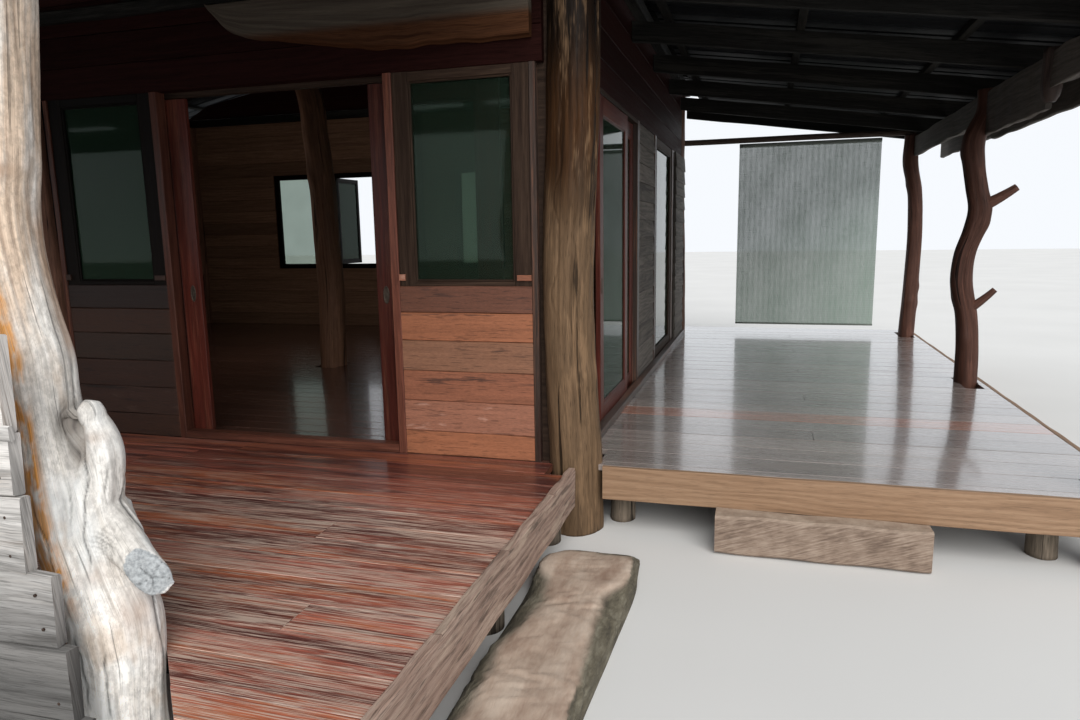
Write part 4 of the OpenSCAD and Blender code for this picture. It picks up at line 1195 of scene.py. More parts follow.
def blob(points, centre, size):
    """One at centre, falling off as a bell curve over size metres each way."""
    return np.exp(-(((points - np.asarray(centre)) / size) ** 2).sum(axis=1))


def near_line(points, line, radius, rng):
    """Bell curve round a crack that runs through the points of line and strays sideways by 4 mm."""
    line, height = np.asarray(line), points[:, 2]
    t = rises(height, line[0, 2], line[-1, 2] - line[0, 2])
    middle = np.stack([np.interp(t, np.linspace(0, 1, len(line)), line[:, n]) for n in range(3)], axis=1)
    apart = points - middle
    side = apart[:, 0] * .67 + apart[:, 1] * .74 + .004 * ripple(rng, height, 1.6, 12)
    low, high = sorted((line[0, 2], line[-1, 2]))
    fade = rises(height, low, .04) * falls(height, high, .04)
    return np.exp(-(side / radius) ** 2) * fade * (np.linalg.norm(apart, axis=1) < .12)


class PorchLog(Piece):
    """Shapes the bleached porch log: the stem, its sawn-off second stem and its cut branch are fused by a
    voxel remesh, then the hollow, the ridges and the cracks are pressed in along the grain."""
    bl_idname, bl_label = "veranda_house.porch_log", "Porch log"

    def build(self):
        rng = np.random.default_rng(81)
        top = box("porch_log")[1][2]
        line = [(z, x, PORCH_Y, r) for z, x, r in PORCH_STEM] + [(top, -1.05, PORCH_Y, .095)]
        fused = remesh(self.tubes(rng, line), 0.0058)
        points, normals = mesh_arrays(fused)
        height = points[:, 2]
        centre = np.stack([np.interp(height, [p[0] for p in line], [p[1] for p in line]),
                           np.full(len(points), PORCH_Y)], axis=1)
        spoke = points[:, :2] - centre
        turn = np.arctan2(spoke[:, 1], spoke[:, 0])
        ridge = self.ridges(rng, points, turn)
        groove = self.cracks(rng, points, turn)
        hollow = blob(points, (-.969, -2.41, 1.165), (.028, .05, .055))
        hollow = np.minimum(hollow + .9 * blob(points, (-.946, -2.41, 1.065), (.016, .05, .050)), 1)
        fibre = np.sin(points[:, 0] * 900 + 3 * np.sin(height * 60)) * .5 + .5
        face, star = self.cut_face(points)
        collar = blob(points, (-.855, -2.44, .815), (.035, .05, .035))
        groove += star * .004 + collar * .003 * (np.sin(points @ [260, 0, 420]) > .3)
        push = ridge * (1 - .8 * face) - groove - hollow * (.030 + .007 * fibre)
        moved = points + normals * push[:, None]
        moved[:, 2] = np.clip(moved[:, 2], 0.0005, top)
        fused.vertices.foreach_set("co", moved.ravel())
        self.grain_map(fused, height, turn)
        radius = np.interp(height, [p[0] for p in line], [p[3] for p in line])
        left = spoke @ [-.673, -.740] / radius
        right = spoke @ [.675, .738] / radius
        sap, stain, lee = self.weather(points, left, right)
        for key, values in zip(PORCH_MARKS, (sap, stain, hollow, face, groove / .005, lee)):
            fused.attributes.new(key, "FLOAT", "POINT").data.foreach_set(
                "value", np.clip(values, 0, 1).astype(np.float32))

    def tubes(self, rng, line):
        """The stem, the second stem with its knob and web, and the branch with its slanting cut."""
        skin = Skin(82)
        skin.add(stem(line, 72, 220, rng, 0.03, 0.003,
                      [(1.91, -1.0, .05, .012), (1.30, -2.2, .09, .008), (.62, -.2, .08, .008)]))
        for part, count in ((PORCH_SECOND, 30), (PORCH_KNOB, 12), (PORCH_WEB, 24)):
            path = curve([(z, x, y, r) for x, y, z, r in part], count)
            skin.add(sweep(path[:, [1, 2, 0]], path[:, 3], 40, rng, 0.05))
        path = curve(PORCH_BRANCH, 16)
        ring = sweep(path[:, :3], path[:, 3], 40, rng, 0.04)
        run = unit(path[-1, :3] - path[0, :3])
        past = np.maximum((ring - BRANCH_TIP) @ BRANCH_FACE, 0)
        skin.add(ring - run * (past / (run @ BRANCH_FACE))[..., None])
        return skin.make("porch_log_stem", bleached_wood(), ["porch_log"])

    def ridges(self, rng, points, turn):
        """Height of the ridges that wind up the stem and of the slow bumps."""
        height = points[:, 2]
        ridge = np.zeros(len(points))
        for n, size in ((5, .0022), (9, .0012), (17, .0009), (31, .0006)):
            phase = ripple(rng, height, 0.3, 1.6) * 2.2
            ridge += np.sin(n * turn + phase + rng.uniform(0, 6)) * size
        for size in (.0022, .0012):
            ridge += size * np.sin(points @ (rng.uniform(-1, 1, 3) * [40, 40, 22]) + rng.uniform(0, 6))
        return ridge

    def cracks(self, rng, points, turn):
        """Depth of the cracks and of the splits."""
        height = points[:, 2]
        groove = np.zeros(len(points))
        for route, width, depth in PORCH_CRACKS:
            groove += depth * near_line(points, route, width, rng)
        for low, high, angle, width, depth in PORCH_SPLITS:
            middle = angle + 0.1 * ripple(rng, height, 0.5, 3.5)
            apart = half_turn(turn - middle) * STEM_GIRTH
            fade = rises(height, low, .12) * falls(height, high, .12)
            groove += depth * fade * np.exp(-(apart / width) ** 2)
        return groove

    def cut_face(self, points):
        """Where the branch is sawn off, and the star of cracks in that face."""
        away = points - BRANCH_TIP
        reach = np.linalg.norm(away, axis=1)
        face = (away @ BRANCH_FACE > -.006) & (reach < .10)
        spin = np.arctan2(away[:, 2], away @ [.8, .52, 0])
        star = np.exp(-(np.sin(2.5 * spin + 6 * reach + .4) * reach / .004) ** 2) * face * (reach < .05)
        return face, star

    def grain_map(self, mesh, height, turn):
        """The map "grain": height and girth, with no face across the seam behind the stem."""
        corner = np.empty(len(mesh.loops), np.int32)
        mesh.loops.foreach_get("vertex_index", corner)
        sizes = np.empty(len(mesh.polygons), np.int32)
        mesh.polygons.foreach_get("loop_total", sizes)
        owner = np.repeat(np.arange(len(sizes)), sizes)
        share = turn[corner] / TURN
        least = np.full(len(sizes), 9.0)
        np.minimum.at(least, owner, share)
        most = np.full(len(sizes), -9.0)
        np.maximum.at(most, owner, share)
        share = share + ((most - least)[owner] > 0.5) * (share < 0)
        mesh.uv_layers.new(name="grain").data.foreach_set(
            "uv", columns(height[corner], share * TURN * STEM_GIRTH).ravel())
        mesh.polygons.foreach_set("use_smooth", np.ones(len(sizes), bool))

    def weather(self, points, left, right):
        """Shares of sap wood, of stain and of painted light on the left side and the foot, from how far a
        point lies left and right.
        """
        height = points[:, 2]
        sap = rises(left, .42, .22) * rises(height, .58, .15) * falls(height, 1.62, .1)
        sap += .8 * rises(left, .60, .2) * blob(points, (-1.2, -2.45, 1.98), (.2, .2, .16))
        sap += (blob(points, (-1.16, -2.47, 1.50), (.05, .05, .055))
                + blob(points, (-1.15, -2.47, 1.97), (.03, .05, .06)))
        stain = .75 * rises(right, .70, .2) * rises(height, 1.32, .08) * falls(height, 1.85, .12)
        for spot, size, much in (((-.765, -2.44, .60), (.05, .06, .07), .8),
                                 ((-.84, -2.50, .715), (.06, .05, .03), .6),
                                 ((-.872, -2.46, 1.125), (.045, .05, .018), .7),
                                 ((-1.07, -2.48, 1.90), (.06, .05, .02), .8),
                                 ((-1.10, -2.48, 1.25), (.03, .05, .10), .4)):
            stain += much * blob(points, spot, size)
        # Painted light: marks the left side below 1.35 m, which the parapet planks shade, and the foot for
        # brightening.
        lee = rises(left, -.35, .9) * falls(height, 1.35, .3) + falls(height, .85, .3) * .35
        return sap, stain, lee


def remesh(piece, size):
    """Fuses the closed tubes of a piece by a voxel remesh and one smoothing pass of four iterations."""
    for kind, settings in (("REMESH", {"mode": "VOXEL", "voxel_size": size}),
                           ("SMOOTH", {"factor": 0.5, "iterations": 4})):
        modifier = piece.modifiers.new(kind.lower(), kind)
        for key, value in settings.items():
            setattr(modifier, key, value)
    material = piece.data.materials[0]
    done = bpy.data.meshes.new_from_object(piece.evaluated_get(bpy.context.evaluated_depsgraph_get()))
    piece.modifiers.clear()
    piece.data = done
    done.materials.clear()
    done.materials.append(material)
    return done


def mesh_arrays(mesh):
    """Corners of a mesh and the normal at each."""
    points = np.empty(len(mesh.vertices) * 3)
    mesh.vertices.foreach_get("co", points)
    normals = np.empty(len(mesh.vertices) * 3)
    mesh.vertex_normals.foreach_get("vector", normals)
    return points.reshape(-1, 3), normals.reshape(-1, 3)


@cache
def bleached_wood():
    """Bare log, bleached silver at the foot and beige higher up, with sap wood, stains and cracks, and
    painted light on its left side and foot.
    """
    def change(look):
        net = look.net
        sap, stain, hollow, face, split, lee = (net.attribute(key) for key in PORCH_MARKS)
        high = look.along(2, 1.15, 1.6)
        drifted = net.grain(look.p, (1.6, 7, 1), 4.0, 0.6)
        look.cover(high * net.step(drifted, 0.36, 0.60) * 0.8,
                   net.ramp(look.streak, (0.35, (0.29, 0.185, 0.115)), (0.65, (0.60, 0.445, 0.315))))
        speckle = net.grain(look.spot, (60, 60, 32), 4.0, 0.7)
        look.dim(net.step(speckle, 0.36, 0.62) * 0.36 + 0.84)
        cool = net.step(net.grain(look.spot, (5, 5, 2), 3.0, 0.6), 0.45, 0.62)
        look.cover(cool * (1.0 - high) * 0.55, (0.63, 0.66, 0.67))
        grey = net.step(net.grain(look.p, (1.6, 34, 1), 3.0, 0.65), 0.55, 0.66)
        look.cover(grey * 0.34, (0.30, 0.275, 0.25))
        look.cover(net.limit(stain * (look.streak * 1.4 + 0.15)), (0.27, 0.145, 0.075))
        broken = net.step(net.grain(look.spot, (14, 14, 7), 3.0, 0.6), 0.36, 0.56)
        look.cover(net.limit(sap * broken * (look.streak * 2.2 - 0.1)),
                   net.ramp(look.fine, (0.3, (0.36, 0.15, 0.045)), (0.7, (0.74, 0.36, 0.09))))
        tan = net.step(net.grain(look.spot, (7, 7, 3.5), 3.0, 0.6), 0.56, 0.68)
        look.cover(tan * 0.4, (0.42, 0.30, 0.20))
        # Painted light: brightens the marked left side and foot by up to half.
        look.dim(lee * 0.55 + 1.0)
        rough_face = net.noise(look.spot, 90.0, 3.0, 0.6)
        look.cover(face * 0.9, net.ramp(rough_face, (0.35, (0.20, 0.22, 0.235)),
                                        (0.65, (0.42, 0.45, 0.47))))
        dark = net.step(look.streak, 0.35, 0.65)
        look.cover(net.limit(hollow * 1.2), net.mix(dark, (0.06, 0.05, 0.045), (0.33, 0.30, 0.27)))
        look.dim(1.0 - split * 0.75)
        crack = net.step(net.grain(look.p, (1.1, 40, 1), 2.0, 0.5, 0.5), 0.65, 0.68)
        look.dim(1.0 - crack * 0.45)
        look.height = look.height - crack * 1.2
    return wood("bleached_log", (0.44, 0.41, 0.37), (0.61, 0.585, 0.55), (0.73, 0.715, 0.69), fibre=1.0,
                rough=(0.65, 0.85), depth=0.0012, vary=0.0, figure=0.1, pores=0.25, change=change)


class Parapet(Piece):
    """Nails wide grey planks with wavy edges in place of the parapet."""
    bl_idname, bl_label = "veranda_house.parapet", "Parapet"

    def build(self):
        skin = Skin(91)
        levels = [.17, .38, .60, .81, 1.025, 1.20, 1.465]
        ends_x = [-.75, -.775, -.805, -.88, -.885, -.89]
        y = DECK_LOW[1] - 0.035
        nails = []
        rows = list(zip(levels[:-1], levels[1:], ends_x))
        for x0, stops in ((PORCH_LEFT[0] + .005, ends_x), (-HOUSE, [-BAY - .435] * 6)):
            rects = [(x0, x1 - .008, a + .002, x0, x1, b - .002) for (a, b, _), x1 in zip(rows, stops)]
            thick = skin.rng.uniform(.031, .039, 6)
            skin.boards((0, y, 0), X, Z, -Y, rects, (thick, thick), 0.004,
                        stations=48, wander=0.0035, turns=(0.3, 2.2))
            nails += [(x, y - t, z) for r, t in zip(rects, thick) for x in (r[0] + .06, r[1] - .045)
                      for z in (r[2] + .05, r[5] - .05)]
        skin.boards((0, y - .032, 0), X, Z, -Y, [rect(-BAY - .42, -.868, 1.185, 1.225)],
                    (.016, .016), 0.005, stations=48, wander=0.0025)
        skin.make("parapet_planks", plank_wood(), ["parapet"])
        heads = Skin(92)
        spots = np.array(nails) + heads.rng.uniform(-.008, .008, (len(nails), 3)) * (1, 0, 1)
        nail_heads(heads, spots)
        heads.make("parapet_nails", metal("rusty_nail_heads", (0.085, 0.055, 0.042)))


def nail_heads(skin, spots):
    """Low round heads that look to the front: ten points a ring, from inside the wood out by lift and in."""
    radius, lift = 0.0045, 0.0012
    a = circle(10)[:, None]
    rim = (np.cos(a) * Z - np.sin(a) * X) * radius
    steps = ((-.006, 1.0), (lift * .4, 1.0), (lift, .6))
    skin.add(np.stack([spots[:, None] - Y * up + rim * share for up, share in steps], axis=1))


def clad(skin, u_range, v_edges, origin, along, out, thick, lap=0.0, holes=(), **more):
    """Horizontal boards on a wall. lap leans each board out at its foot. holes are (u0, u1, v0, v1)."""
    rects, joint = [], 0.002
    for a, b in zip(v_edges[:-1], v_edges[1:]):
        cuts = [(u0, u1) for u0, u1, v0, v1 in holes if v0 < (a + b) / 2 < v1]
        rects += [rect(c, d, a + joint / 2 - (0.012 if lap else 0), b - joint / 2)
                  for c, d in runs(*u_range, cuts)]
    skin.boards(origin, along, Z, out, rects, (thick + lap, thick), **more)


DADO = [0, .145, .33, .51, .69, .855, 1.01]
DADO_TONE = [.5, .9, .3, .7, .5, .1]


class FrontWall(Piece):
    """Boards the front wall: panels under the windows, header boards and the rough beam over the door."""
    bl_idname, bl_label = "veranda_house.front_wall", "Front wall"

    def build(self):
        skin = Skin(101)
        for low, high in boxes("front_dado"):
            edges = [FLOOR + v for v in DADO if FLOOR + v < high[2] - 0.03] + [high[2]]
            if high[2] > 2:
                edges = edges[:-1] + list(courses(FLOOR + DADO[-1], high[2], setting("wall_pitch")))[1:]
            tone = (DADO_TONE + [.3, .7, .5, .1] * 4)[:len(edges) - 1]
            clad(skin, (low[0] + .001, high[0] - .001), edges, (0, high[1], 0), X, -Y,
                 high[1] - low[1] - .006, ease=0.004, stations=8, wander=0.0012, tone=tone)
        skin.make("front_panel_boards", wall_wood(), ["front_dado"])
        header = Skin(102)
        for low, high in boxes("front_header"):
            for y, out in ((-.04, -1), (-.04, 1)):
                clad(header, (low[0] - .02, high[0] + .02), courses(low[2], high[2], .19), (0, y, 0), X,
                     (0, out, 0), .036, ease=0.004, stations=8, wander=0.001)
        header.make("front_header_boards", header_wood(), ["front_header"])
        dress(["front_posts"], "front_wall_posts", red_joinery(), 103, 0.004, 0.001, 0.3)
        strips = Skin(105)
        for x in (0, -BAY, -HOUSE):
            spots = [rect(x + side * .155 - .05, x + side * .155 + .05, FLOOR, STRIP_TOP)
                     for side in (-1, 1) if -HOUSE < x + side * .155 < 0]
            strips.boards((0, .03, 0), X, Z, -Y, spots, (.06, .06), 0.002)
        strips.boards((-.03, 0, 0), Y, Z, X, [rect(.09, .20, FLOOR, STRIP_TOP)], (.06, .06), 0.002)
        strips.make("log_cover_strips", brown_joinery())
        beam = Skin(104)
        low_edge = np.array([[-2.18, 3.04], [-2.172, 3.01], [-2.06, 2.90], [-1.93, 2.845], [-1.70, 2.812],
                             [-1.527, 2.786], [-1.33, 2.75], [-1.155, 2.724], [-.92, 2.716], [-.681, 2.717],
                             [-.43, 2.716], [-.20, 2.713]])
        x = np.linspace(-2.178, -.20, 90)
        z = np.interp(x, low_edge[:, 0], low_edge[:, 1]) + 0.004 * ripple(beam.rng, x, 1, 6)
        ring = [columns(x, -.085, z), columns(x, -.137, z + .018), columns(x, -.137, 3.048),
                columns(x, -.085, 3.048)]
        beam.add(eased(np.stack(ring, axis=1), 0.006))
        beam.make("rough_door_beam", lintel_wood(), ["door_beam"])


def bars(skin, u, v, t, axis, ease=0.003, **more):
    """A frame's two stiles the full height and two rails between them, from its four edges each way."""
    def ring(a, b, spot):
        corners = [spot(p, q) for p, q in ((a, t[0]), (b, t[0]), (b, t[1]), (a, t[1]))]
        return [corners if axis == 1 else [(y, x, z) for x, y, z in corners]]
    for a, b in (u[:2], u[2:]):
        start, end = (ring(a, b, lambda p, q: (p, q, z)) for z in (v[0], v[3]))
        skin.timber(start, end, ease, **more)
    for a, b in (v[:2], v[2:]):
        start, end = (ring(a, b, lambda p, q: (x, q, p)) for x in (u[1], u[2]))
        skin.timber(start, end, ease, **more)


def frame_edges(corners):
    """Axis of the thin side of a ring frame, and its edges across, up and through."""
    axis = int(np.argmin(np.ptp(corners, axis=0)))
    return axis, *(np.unique(np.round(corners[:, n], 4)) for n in (1 - axis, 2, axis))


def inset(edges):
    """Edges of a glazing bead inside the edges of a frame."""
    bead = 0.012
    return np.array([edges[1], edges[1] + bead, edges[2] - bead, edges[2]])


def frames(node, piece, material, seed, body="house"):
    """Stiles, rails and glazing beads in place of each ring frame of a node."""
    skin = Skin(seed)
    for corners in solids(node):
        if len(corners) < 16:
            continue
        axis, u, v, t = frame_edges(corners)
        bars(skin, u, v, t, axis)
        mid = (t[0] + t[1]) / 2
        for side in ((t[0] + .004, mid - .005), (mid + .005, t[1] - .004)):
            bars(skin, inset(u), inset(v), side, axis, ease=0.004)
    return skin.make(piece, material, [node], body)


class Windows(Piece):
    """Builds the fixed window frames, the casings, the fixed leaf and the tenon blocks at the foot of the
    front windows.
    """
    bl_idname, bl_label = "veranda_house.windows", "Windows"

    def build(self):
        frames("front_window_frames", "front_window_bars", brown_joinery(), 111)
        frames("side_window_frame", "side_window_bars", brown_joinery(), 112)
        frames("fixed_leaf", "fixed_leaf_bars", red_joinery(leaf=True), 113)
        frames("casings", "window_casings", brown_joinery(), 114)
        blocks = Skin(115)
        for low, high in boxes("front_window_frames"):
            z = low[2]
            blocks.boards((0, low[1], 0), X, Z, -Y,
                          [rect(low[0] + .002, low[0] + .04, z + .03, z + .068),
                           rect(high[0] - .085, high[0] - .002, z + .03, z + .062)], (.012, .012), 0.002)
        blocks.make("window_tenon_blocks", wall_wood())


class SideWall(Piece):
    """Boards the side wall: narrow lapped panels, posts, header boards and thresholds."""
    bl_idname, bl_label = "veranda_house.side_wall", "Side wall"

    def build(self):
        skin = Skin(121)
        for low, high in boxes("side_boards"):
            far = high[1] > ROOM - .5
            clad(skin, (low[1], high[1] + (.20 if far else .02)), courses(low[2], high[2], .16),
                 (low[0] + (.054 if far else .022), 0, 0), Y, X, .016, .012, ease=0.002, stations=4,
                 wander=0.001)
            clad(skin, (low[1], high[1] + .02), courses(low[2], high[2], .15), (low[0] + .022, 0, 0), Y,
                 -X, .02, ease=0.003)
        skin.make("side_panel_boards", grey_wood(), ["side_boards"])
        header = Skin(122)
        low, high = box("side_header")
        for out in (-1, 1):
            clad(header, (low[1] - .02, high[1] + .02), courses(low[2], high[2], .19),
                 ((low[0] + high[0]) / 2, 0, 0), Y, (out, 0, 0), .036, ease=0.004, stations=12,
                 wander=0.001)
        header.make("side_header_boards", header_wood(), ["side_header"])
        dress(["side_posts"], "side_wall_posts", red_joinery(), 123, 0.004, 0.001, 0.3)
        dress(["thresholds"], "threshold_boards", red_joinery(), 124, 0.004, 0.001, 0.3)
        dress(["front_rails", "side_rails"], "leaf_rails", brown_joinery(), 125, 0.002, 0.0,
              1.0)


class RearWalls(Piece):
    """Boards the rear and left walls, lapped outside and flush inside, and the gables."""
    bl_idname, bl_label = "veranda_house.rear_walls", "Rear and left walls"

    def build(self):
        skin = Skin(131)
        for node in ("rear_lower", "rear_piers", "rear_upper"):
            for low, high in boxes(node):
                edges = courses(low[2], high[2], setting("wall_pitch"))
                ends_u = [low[0], high[0]]
                for k, x in enumerate(ends_u):
                    if min(abs(x - log) for log in (-REAR_INSET, -BAY, -HOUSE)) < .18:
                        ends_u[k] = x + (-.05, .05)[k]
                clad(skin, ends_u, edges, (0, ROOM + .05, 0), X, Y, .016, .013, ease=0.002,
                     stations=3)
                clad(skin, ends_u, edges, (0, ROOM + .048, 0), X, -Y, .047, ease=0.003)
        skin.make("rear_wall_boards", dark_wood(), ["rear_lower", "rear_piers", "rear_upper"])
        left = Skin(132)
        low, high = box("left_wall")
        sill = FLOOR + SILL
        holes = [(c - .35, c + .35, sill, HEAD) for c in (1.65, ROOM - 1.65)]
        bands = ((FLOOR, sill), (sill, HEAD), (HEAD, high[2]))
        edges = np.concatenate([[FLOOR]] + [courses(a, b, .17)[1:] for a, b in bands])
        for x, out, thick, lap in ((low[0] + .03, -1, .016, .013), (low[0] + .032, 1, .047, 0)):
            clad(left, (low[1] - .03, high[1] + .03), edges, (x, 0, 0), Y, (out, 0, 0), thick, lap, holes,
                 ease=0.002, stations=3)
        left.make("left_wall_boards", dark_wood(), ["left_wall"])
        gable = Skin(133)
        for corners in solids("gables"):
            low, high = corners.min(axis=0), corners.max(axis=0)
            knee = corners[corners[:, 0] > high[0] - .001][:, 2].max()
            peak = corners[np.abs(corners[:, 0] + BAY) > .049][:, 2].max()
            slope = (peak - knee) / (high[0] + BAY - .05)
            rects = []
            for a, b in zip(*(courses(low[2], peak - .02, .19)[i:j] for i, j in ((0, -1), (1, None)))):
                half = [min(BAY, (peak + slope * .05 - z) / slope) for z in (a, b)]
                if half[1] > .06:
                    rects.append((-BAY - half[0], -BAY + half[0], a, -BAY - half[1], -BAY + half[1],
                                  b - .002))
            gable.boards((0, high[1] - .004, 0), X, Z, -Y, rects, (.052, .052), 0.004)
        gable.make("gable_boards", header_wood(), ["gables"])


def ring_pull(skin, centre, axis, out):
    """Oval pull in a shallow cup: a round bar carried along an oval, and a flat oval plate behind it."""
    a = circle(48)
    flat, away = (X, Y * out) if axis == 1 else (Y, X * out)

    def oval(wide, tall):
        return flat * (wide * np.cos(a))[:, None] + Z * (tall * np.sin(a))[:, None]
    line = oval(.017, .048) + centre
    square = unit(oval(.048, .017))
    b = circle(10)
    ring = (line + away * .0008)[:, None] + square[:, None] * (.0042 * np.cos(b))[None, :, None]
    ring = ring + away * (.0022 * np.sin(b))[None, :, None]
    skin.add(ring[:25], 0.5, smooth=True)
    skin.add(np.concatenate([ring[24:], ring[:1]]), 0.5, smooth=True)
    plate = oval(.021, .054) + centre
    skin.add(np.stack([plate, plate + away * .0012]), 0.5)


class Leaves(Piece):
    """Builds the three sliding leaves with their pulls."""
    bl_idname, bl_label = "veranda_house.leaves", "Sliding leaves"

    def build(self):
        for seed, name in enumerate(("leaf_right", "leaf_left", "leaf_side")):
            body = name + "_body"
            frames(name, name + "_frame", red_joinery(leaf=True), 141 + seed, body)
            low, high = box(name)
            pull = Skin(151 + seed)
            z = FLOOR + .95
            if name == "leaf_side":
                spots = [((high[0], low[1] + .055, z), 0, 1), ((low[0], low[1] + .055, z), 0, -1)]
            else:
                x = low[0] + .06 if name == "leaf_right" else high[0] - .06
                spots = [((x, low[1], z), 1, -1)]
            for centre, axis, out in spots:
                ring_pull(pull, centre, axis, out)
            pull.make(name + "_pull", metal("dark_bronze", (0.09, 0.07, 0.055)), body=body)
        for node in ("wall_glass", "leaf_right_glass", "leaf_left_glass", "leaf_side_glass"):
            paint(node, window_glass())


def paint(node, material):
    """Gives a CAD node its material."""
    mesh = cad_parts[node].data
    if not mesh.materials:
        mesh.materials.append(material)
    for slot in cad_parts[node].material_slots:
        slot.material = material


class OpenSash(Piece):
    """Builds the casement that stands open behind the house, with its pane."""
    bl_idname, bl_label = "veranda_house.open_sash", "Open sash"

    def build(self):
        turn = math.radians(88)
        low, high = box("open_sash")
        pivot = np.array([-BAY - 1.31 + .04, ROOM + .0753, 0])
        width = .578
        skin = Skin(161)
        u, v = (0, .05, width - .05, width), (low[2], low[2] + .055, high[2] - .055, high[2])
        bars(skin, u, v, (0, .035), 1)
        bars(skin, inset(u), inset(v), (.004, .012), 1)
        pane = Skin(162)
        pane.boards((0, .013, 0), X, Z, Y, [rect(.05, width - .05, v[1], v[2])], (.008, .008),
                    0.001)
        c, s = math.cos(turn), math.sin(turn)
        spin = np.array([[c, s, 0], [-s, c, 0], [0, 0, 1]])
        for part in (skin, pane):
            part.points = [p @ spin + pivot for p in part.points]
        skin.make("open_sash_bars", brown_joinery(), ["open_sash"])
        pane.make("open_sash_pane", window_glass())


class Roof(Piece):
    """Shapes the roof timbers, and gives the ribbed sheets their metal."""
    bl_idname, bl_label = "veranda_house.roof", "Roof"

    def build(self):
        for nodes, piece, seed, ease, wander, spacing in (
                (["wall_plates", "ridge_beam"], "plates_and_ridge", 171, 0.005, 0.002, 0.5),
                (["main_rafters"], "main_rafter_timbers", 172, 0.004, 0.002, 0.4),
                (["purlins"], "purlin_timbers", 173, 0.003, 0.0015, 0.5),
                (["porch_rafters"], "porch_rafter_timbers", 174, 0.004, 0.002, 0.3),
                (["porch_beam"], "porch_beams", 175, 0.006, 0.003, 0.3),
                (["veranda_rafters"], "veranda_rafter_timbers", 176, 0.004, 0.003, 0.2)):
            dress(nodes, piece, beam_wood(), seed, ease, wander, spacing)
        self.eaves()
        for node in ("roof_left", "roof_right", "ridge_cap", "porch_roof", "veranda_roof"):
            paint(node, sheet_steel())
        tie = Skin(178)
        low, high = box("rear_tie")
        x = np.linspace(low[0], high[0], 80)
        path = columns(x, (low[1] + high[1]) / 2,
                       (low[2] + high[2]) / 2 + .003 * ripple(tie.rng, x, .3, 1.5))
        tie.add(sweep(path, .034, 20, tie.rng, 0.03), smooth=True)
        tie.make("round_tie_bar", log_wood("tie_timber", (0.07, 0.05, 0.04)), ["rear_tie"])

    def eaves(self):
        """Planks between the posts, a short log where two of them meet, and the fascia in three lengths."""
        skin = Skin(177)
        x = POST_X - .025
        top = 3.14 - LEAN_FALL * (x + .04)
        stub, end = ROOM / 4, box("eave_planks")[1]
        rects = [rect(-.43, stub - .03, top - .22, top),
                 rect(stub + .035, POST_Y[1] - .05, top - .34, top - .004),
                 rect(POST_Y[1] + .05, POST_Y[2] - .04, top - .225, top - .002)]
        skin.boards((x, 0, 0), Y, Z, X, rects, (.04, .04), 0.006, stations=30, wander=0.006)
        cuts = [-.43, 1.62, 4.15, end[1]]
        skin.boards((end[0] - .035, 0, 0), Y, Z, X,
                    [rect(a + .002, b - .002, 2.5 + lift, end[2])
                     for a, b, lift in zip(cuts, cuts[1:], (.012, 0, .02))], (.034, .034), 0.006,
                    stations=30, wander=0.006)
        skin.make("eave_plank_timbers", eave_wood(), ["eave_planks"])
        log = Skin(179)
        path = columns(x + .02, stub, np.linspace(top - .3, top + .02, 9))
        log.add(sweep(path, [.030, .052, .060, .062, .060, .058, .058, .057, .055], 24, log.rng, 0.05),
                smooth=True)
        log.make("short_eave_log", log_wood("eave_log_timber", (0.05, 0.035, 0.03)))


class Blind(Piece):
    """Hangs the woven shade net: a nearly flat sheet with a slow wave, its roll above it and a bar below."""
    bl_idname, bl_label = "veranda_house.blind", "Blind"

    def build(self):
        low, high = box("blind")
        roll = high[2] - .0297
        width, drop = high[0] - low[0], roll - low[2]
        u, v = np.meshgrid(np.linspace(0, 1, 67), np.linspace(0, 1, 90))
        y = (low[1] + high[1]) / 2 + .006 * np.sin(2.3 * math.pi * u + 1) * v
        y = y + .003 * np.sin(5 * v + 3 * u) * v
        points = np.stack([low[0] + width * u, y, roll - drop * v], axis=-1)
        rows, cols = u.shape
        first = (np.arange(rows - 1)[:, None] * cols + np.arange(cols - 1)).ravel()
        faces = np.stack([first, first + cols, first + cols + 1, first + 1], axis=1)
        mesh = bpy.data.meshes.new("shade_net")
        mesh.from_pydata(points.reshape(-1, 3).tolist(), [], faces.tolist())
        flat = np.stack([u * width, v * drop], axis=-1).reshape(-1, 2)
        mesh.uv_layers.new(name="grain").data.foreach_set("uv", flat[faces.ravel()].ravel())
        mesh.polygons.foreach_set("use_smooth", np.ones(len(faces), bool))
        net = place(mesh, "shade_net", woven_net(), "house", ["blind"])
        bar = Skin(181)
        x = np.linspace(low[0], high[0], 12)
        for z, r in ((roll, .024), (low[2] + .012, .011)):
            path = columns(x, (low[1] + high[1]) / 2, z)
            bar.add(sweep(path, r, 20, bar.rng, 0.02), smooth=True)
        ends_piece = bar.make("blind_roll_and_bar", woven_roll())


def weave(net, flat):
    """Threads each way, and the slower bands where the net is packed closer."""
    fine, coarse = 260.0, 15.0
    x, y = net.part(flat, 0), net.part(flat, 1)
    wobble = net.noise(flat, 6.0, 2.0) * 0.25
    tall = net.sine((x * coarse + wobble) * TURN) * 0.5 + 0.5
    wide = net.sine((y * coarse * 2.3 + wobble * 2.0) * TURN) * 0.5 + 0.5
    warp = net.noise(net.vector(x * fine, y * 9.0, 0.0), 1.0, 1.0)
    thread = warp + net.noise(net.vector(x * 9.0, y * fine, 4.0), 1.0, 1.0)
    return tall, wide, thread


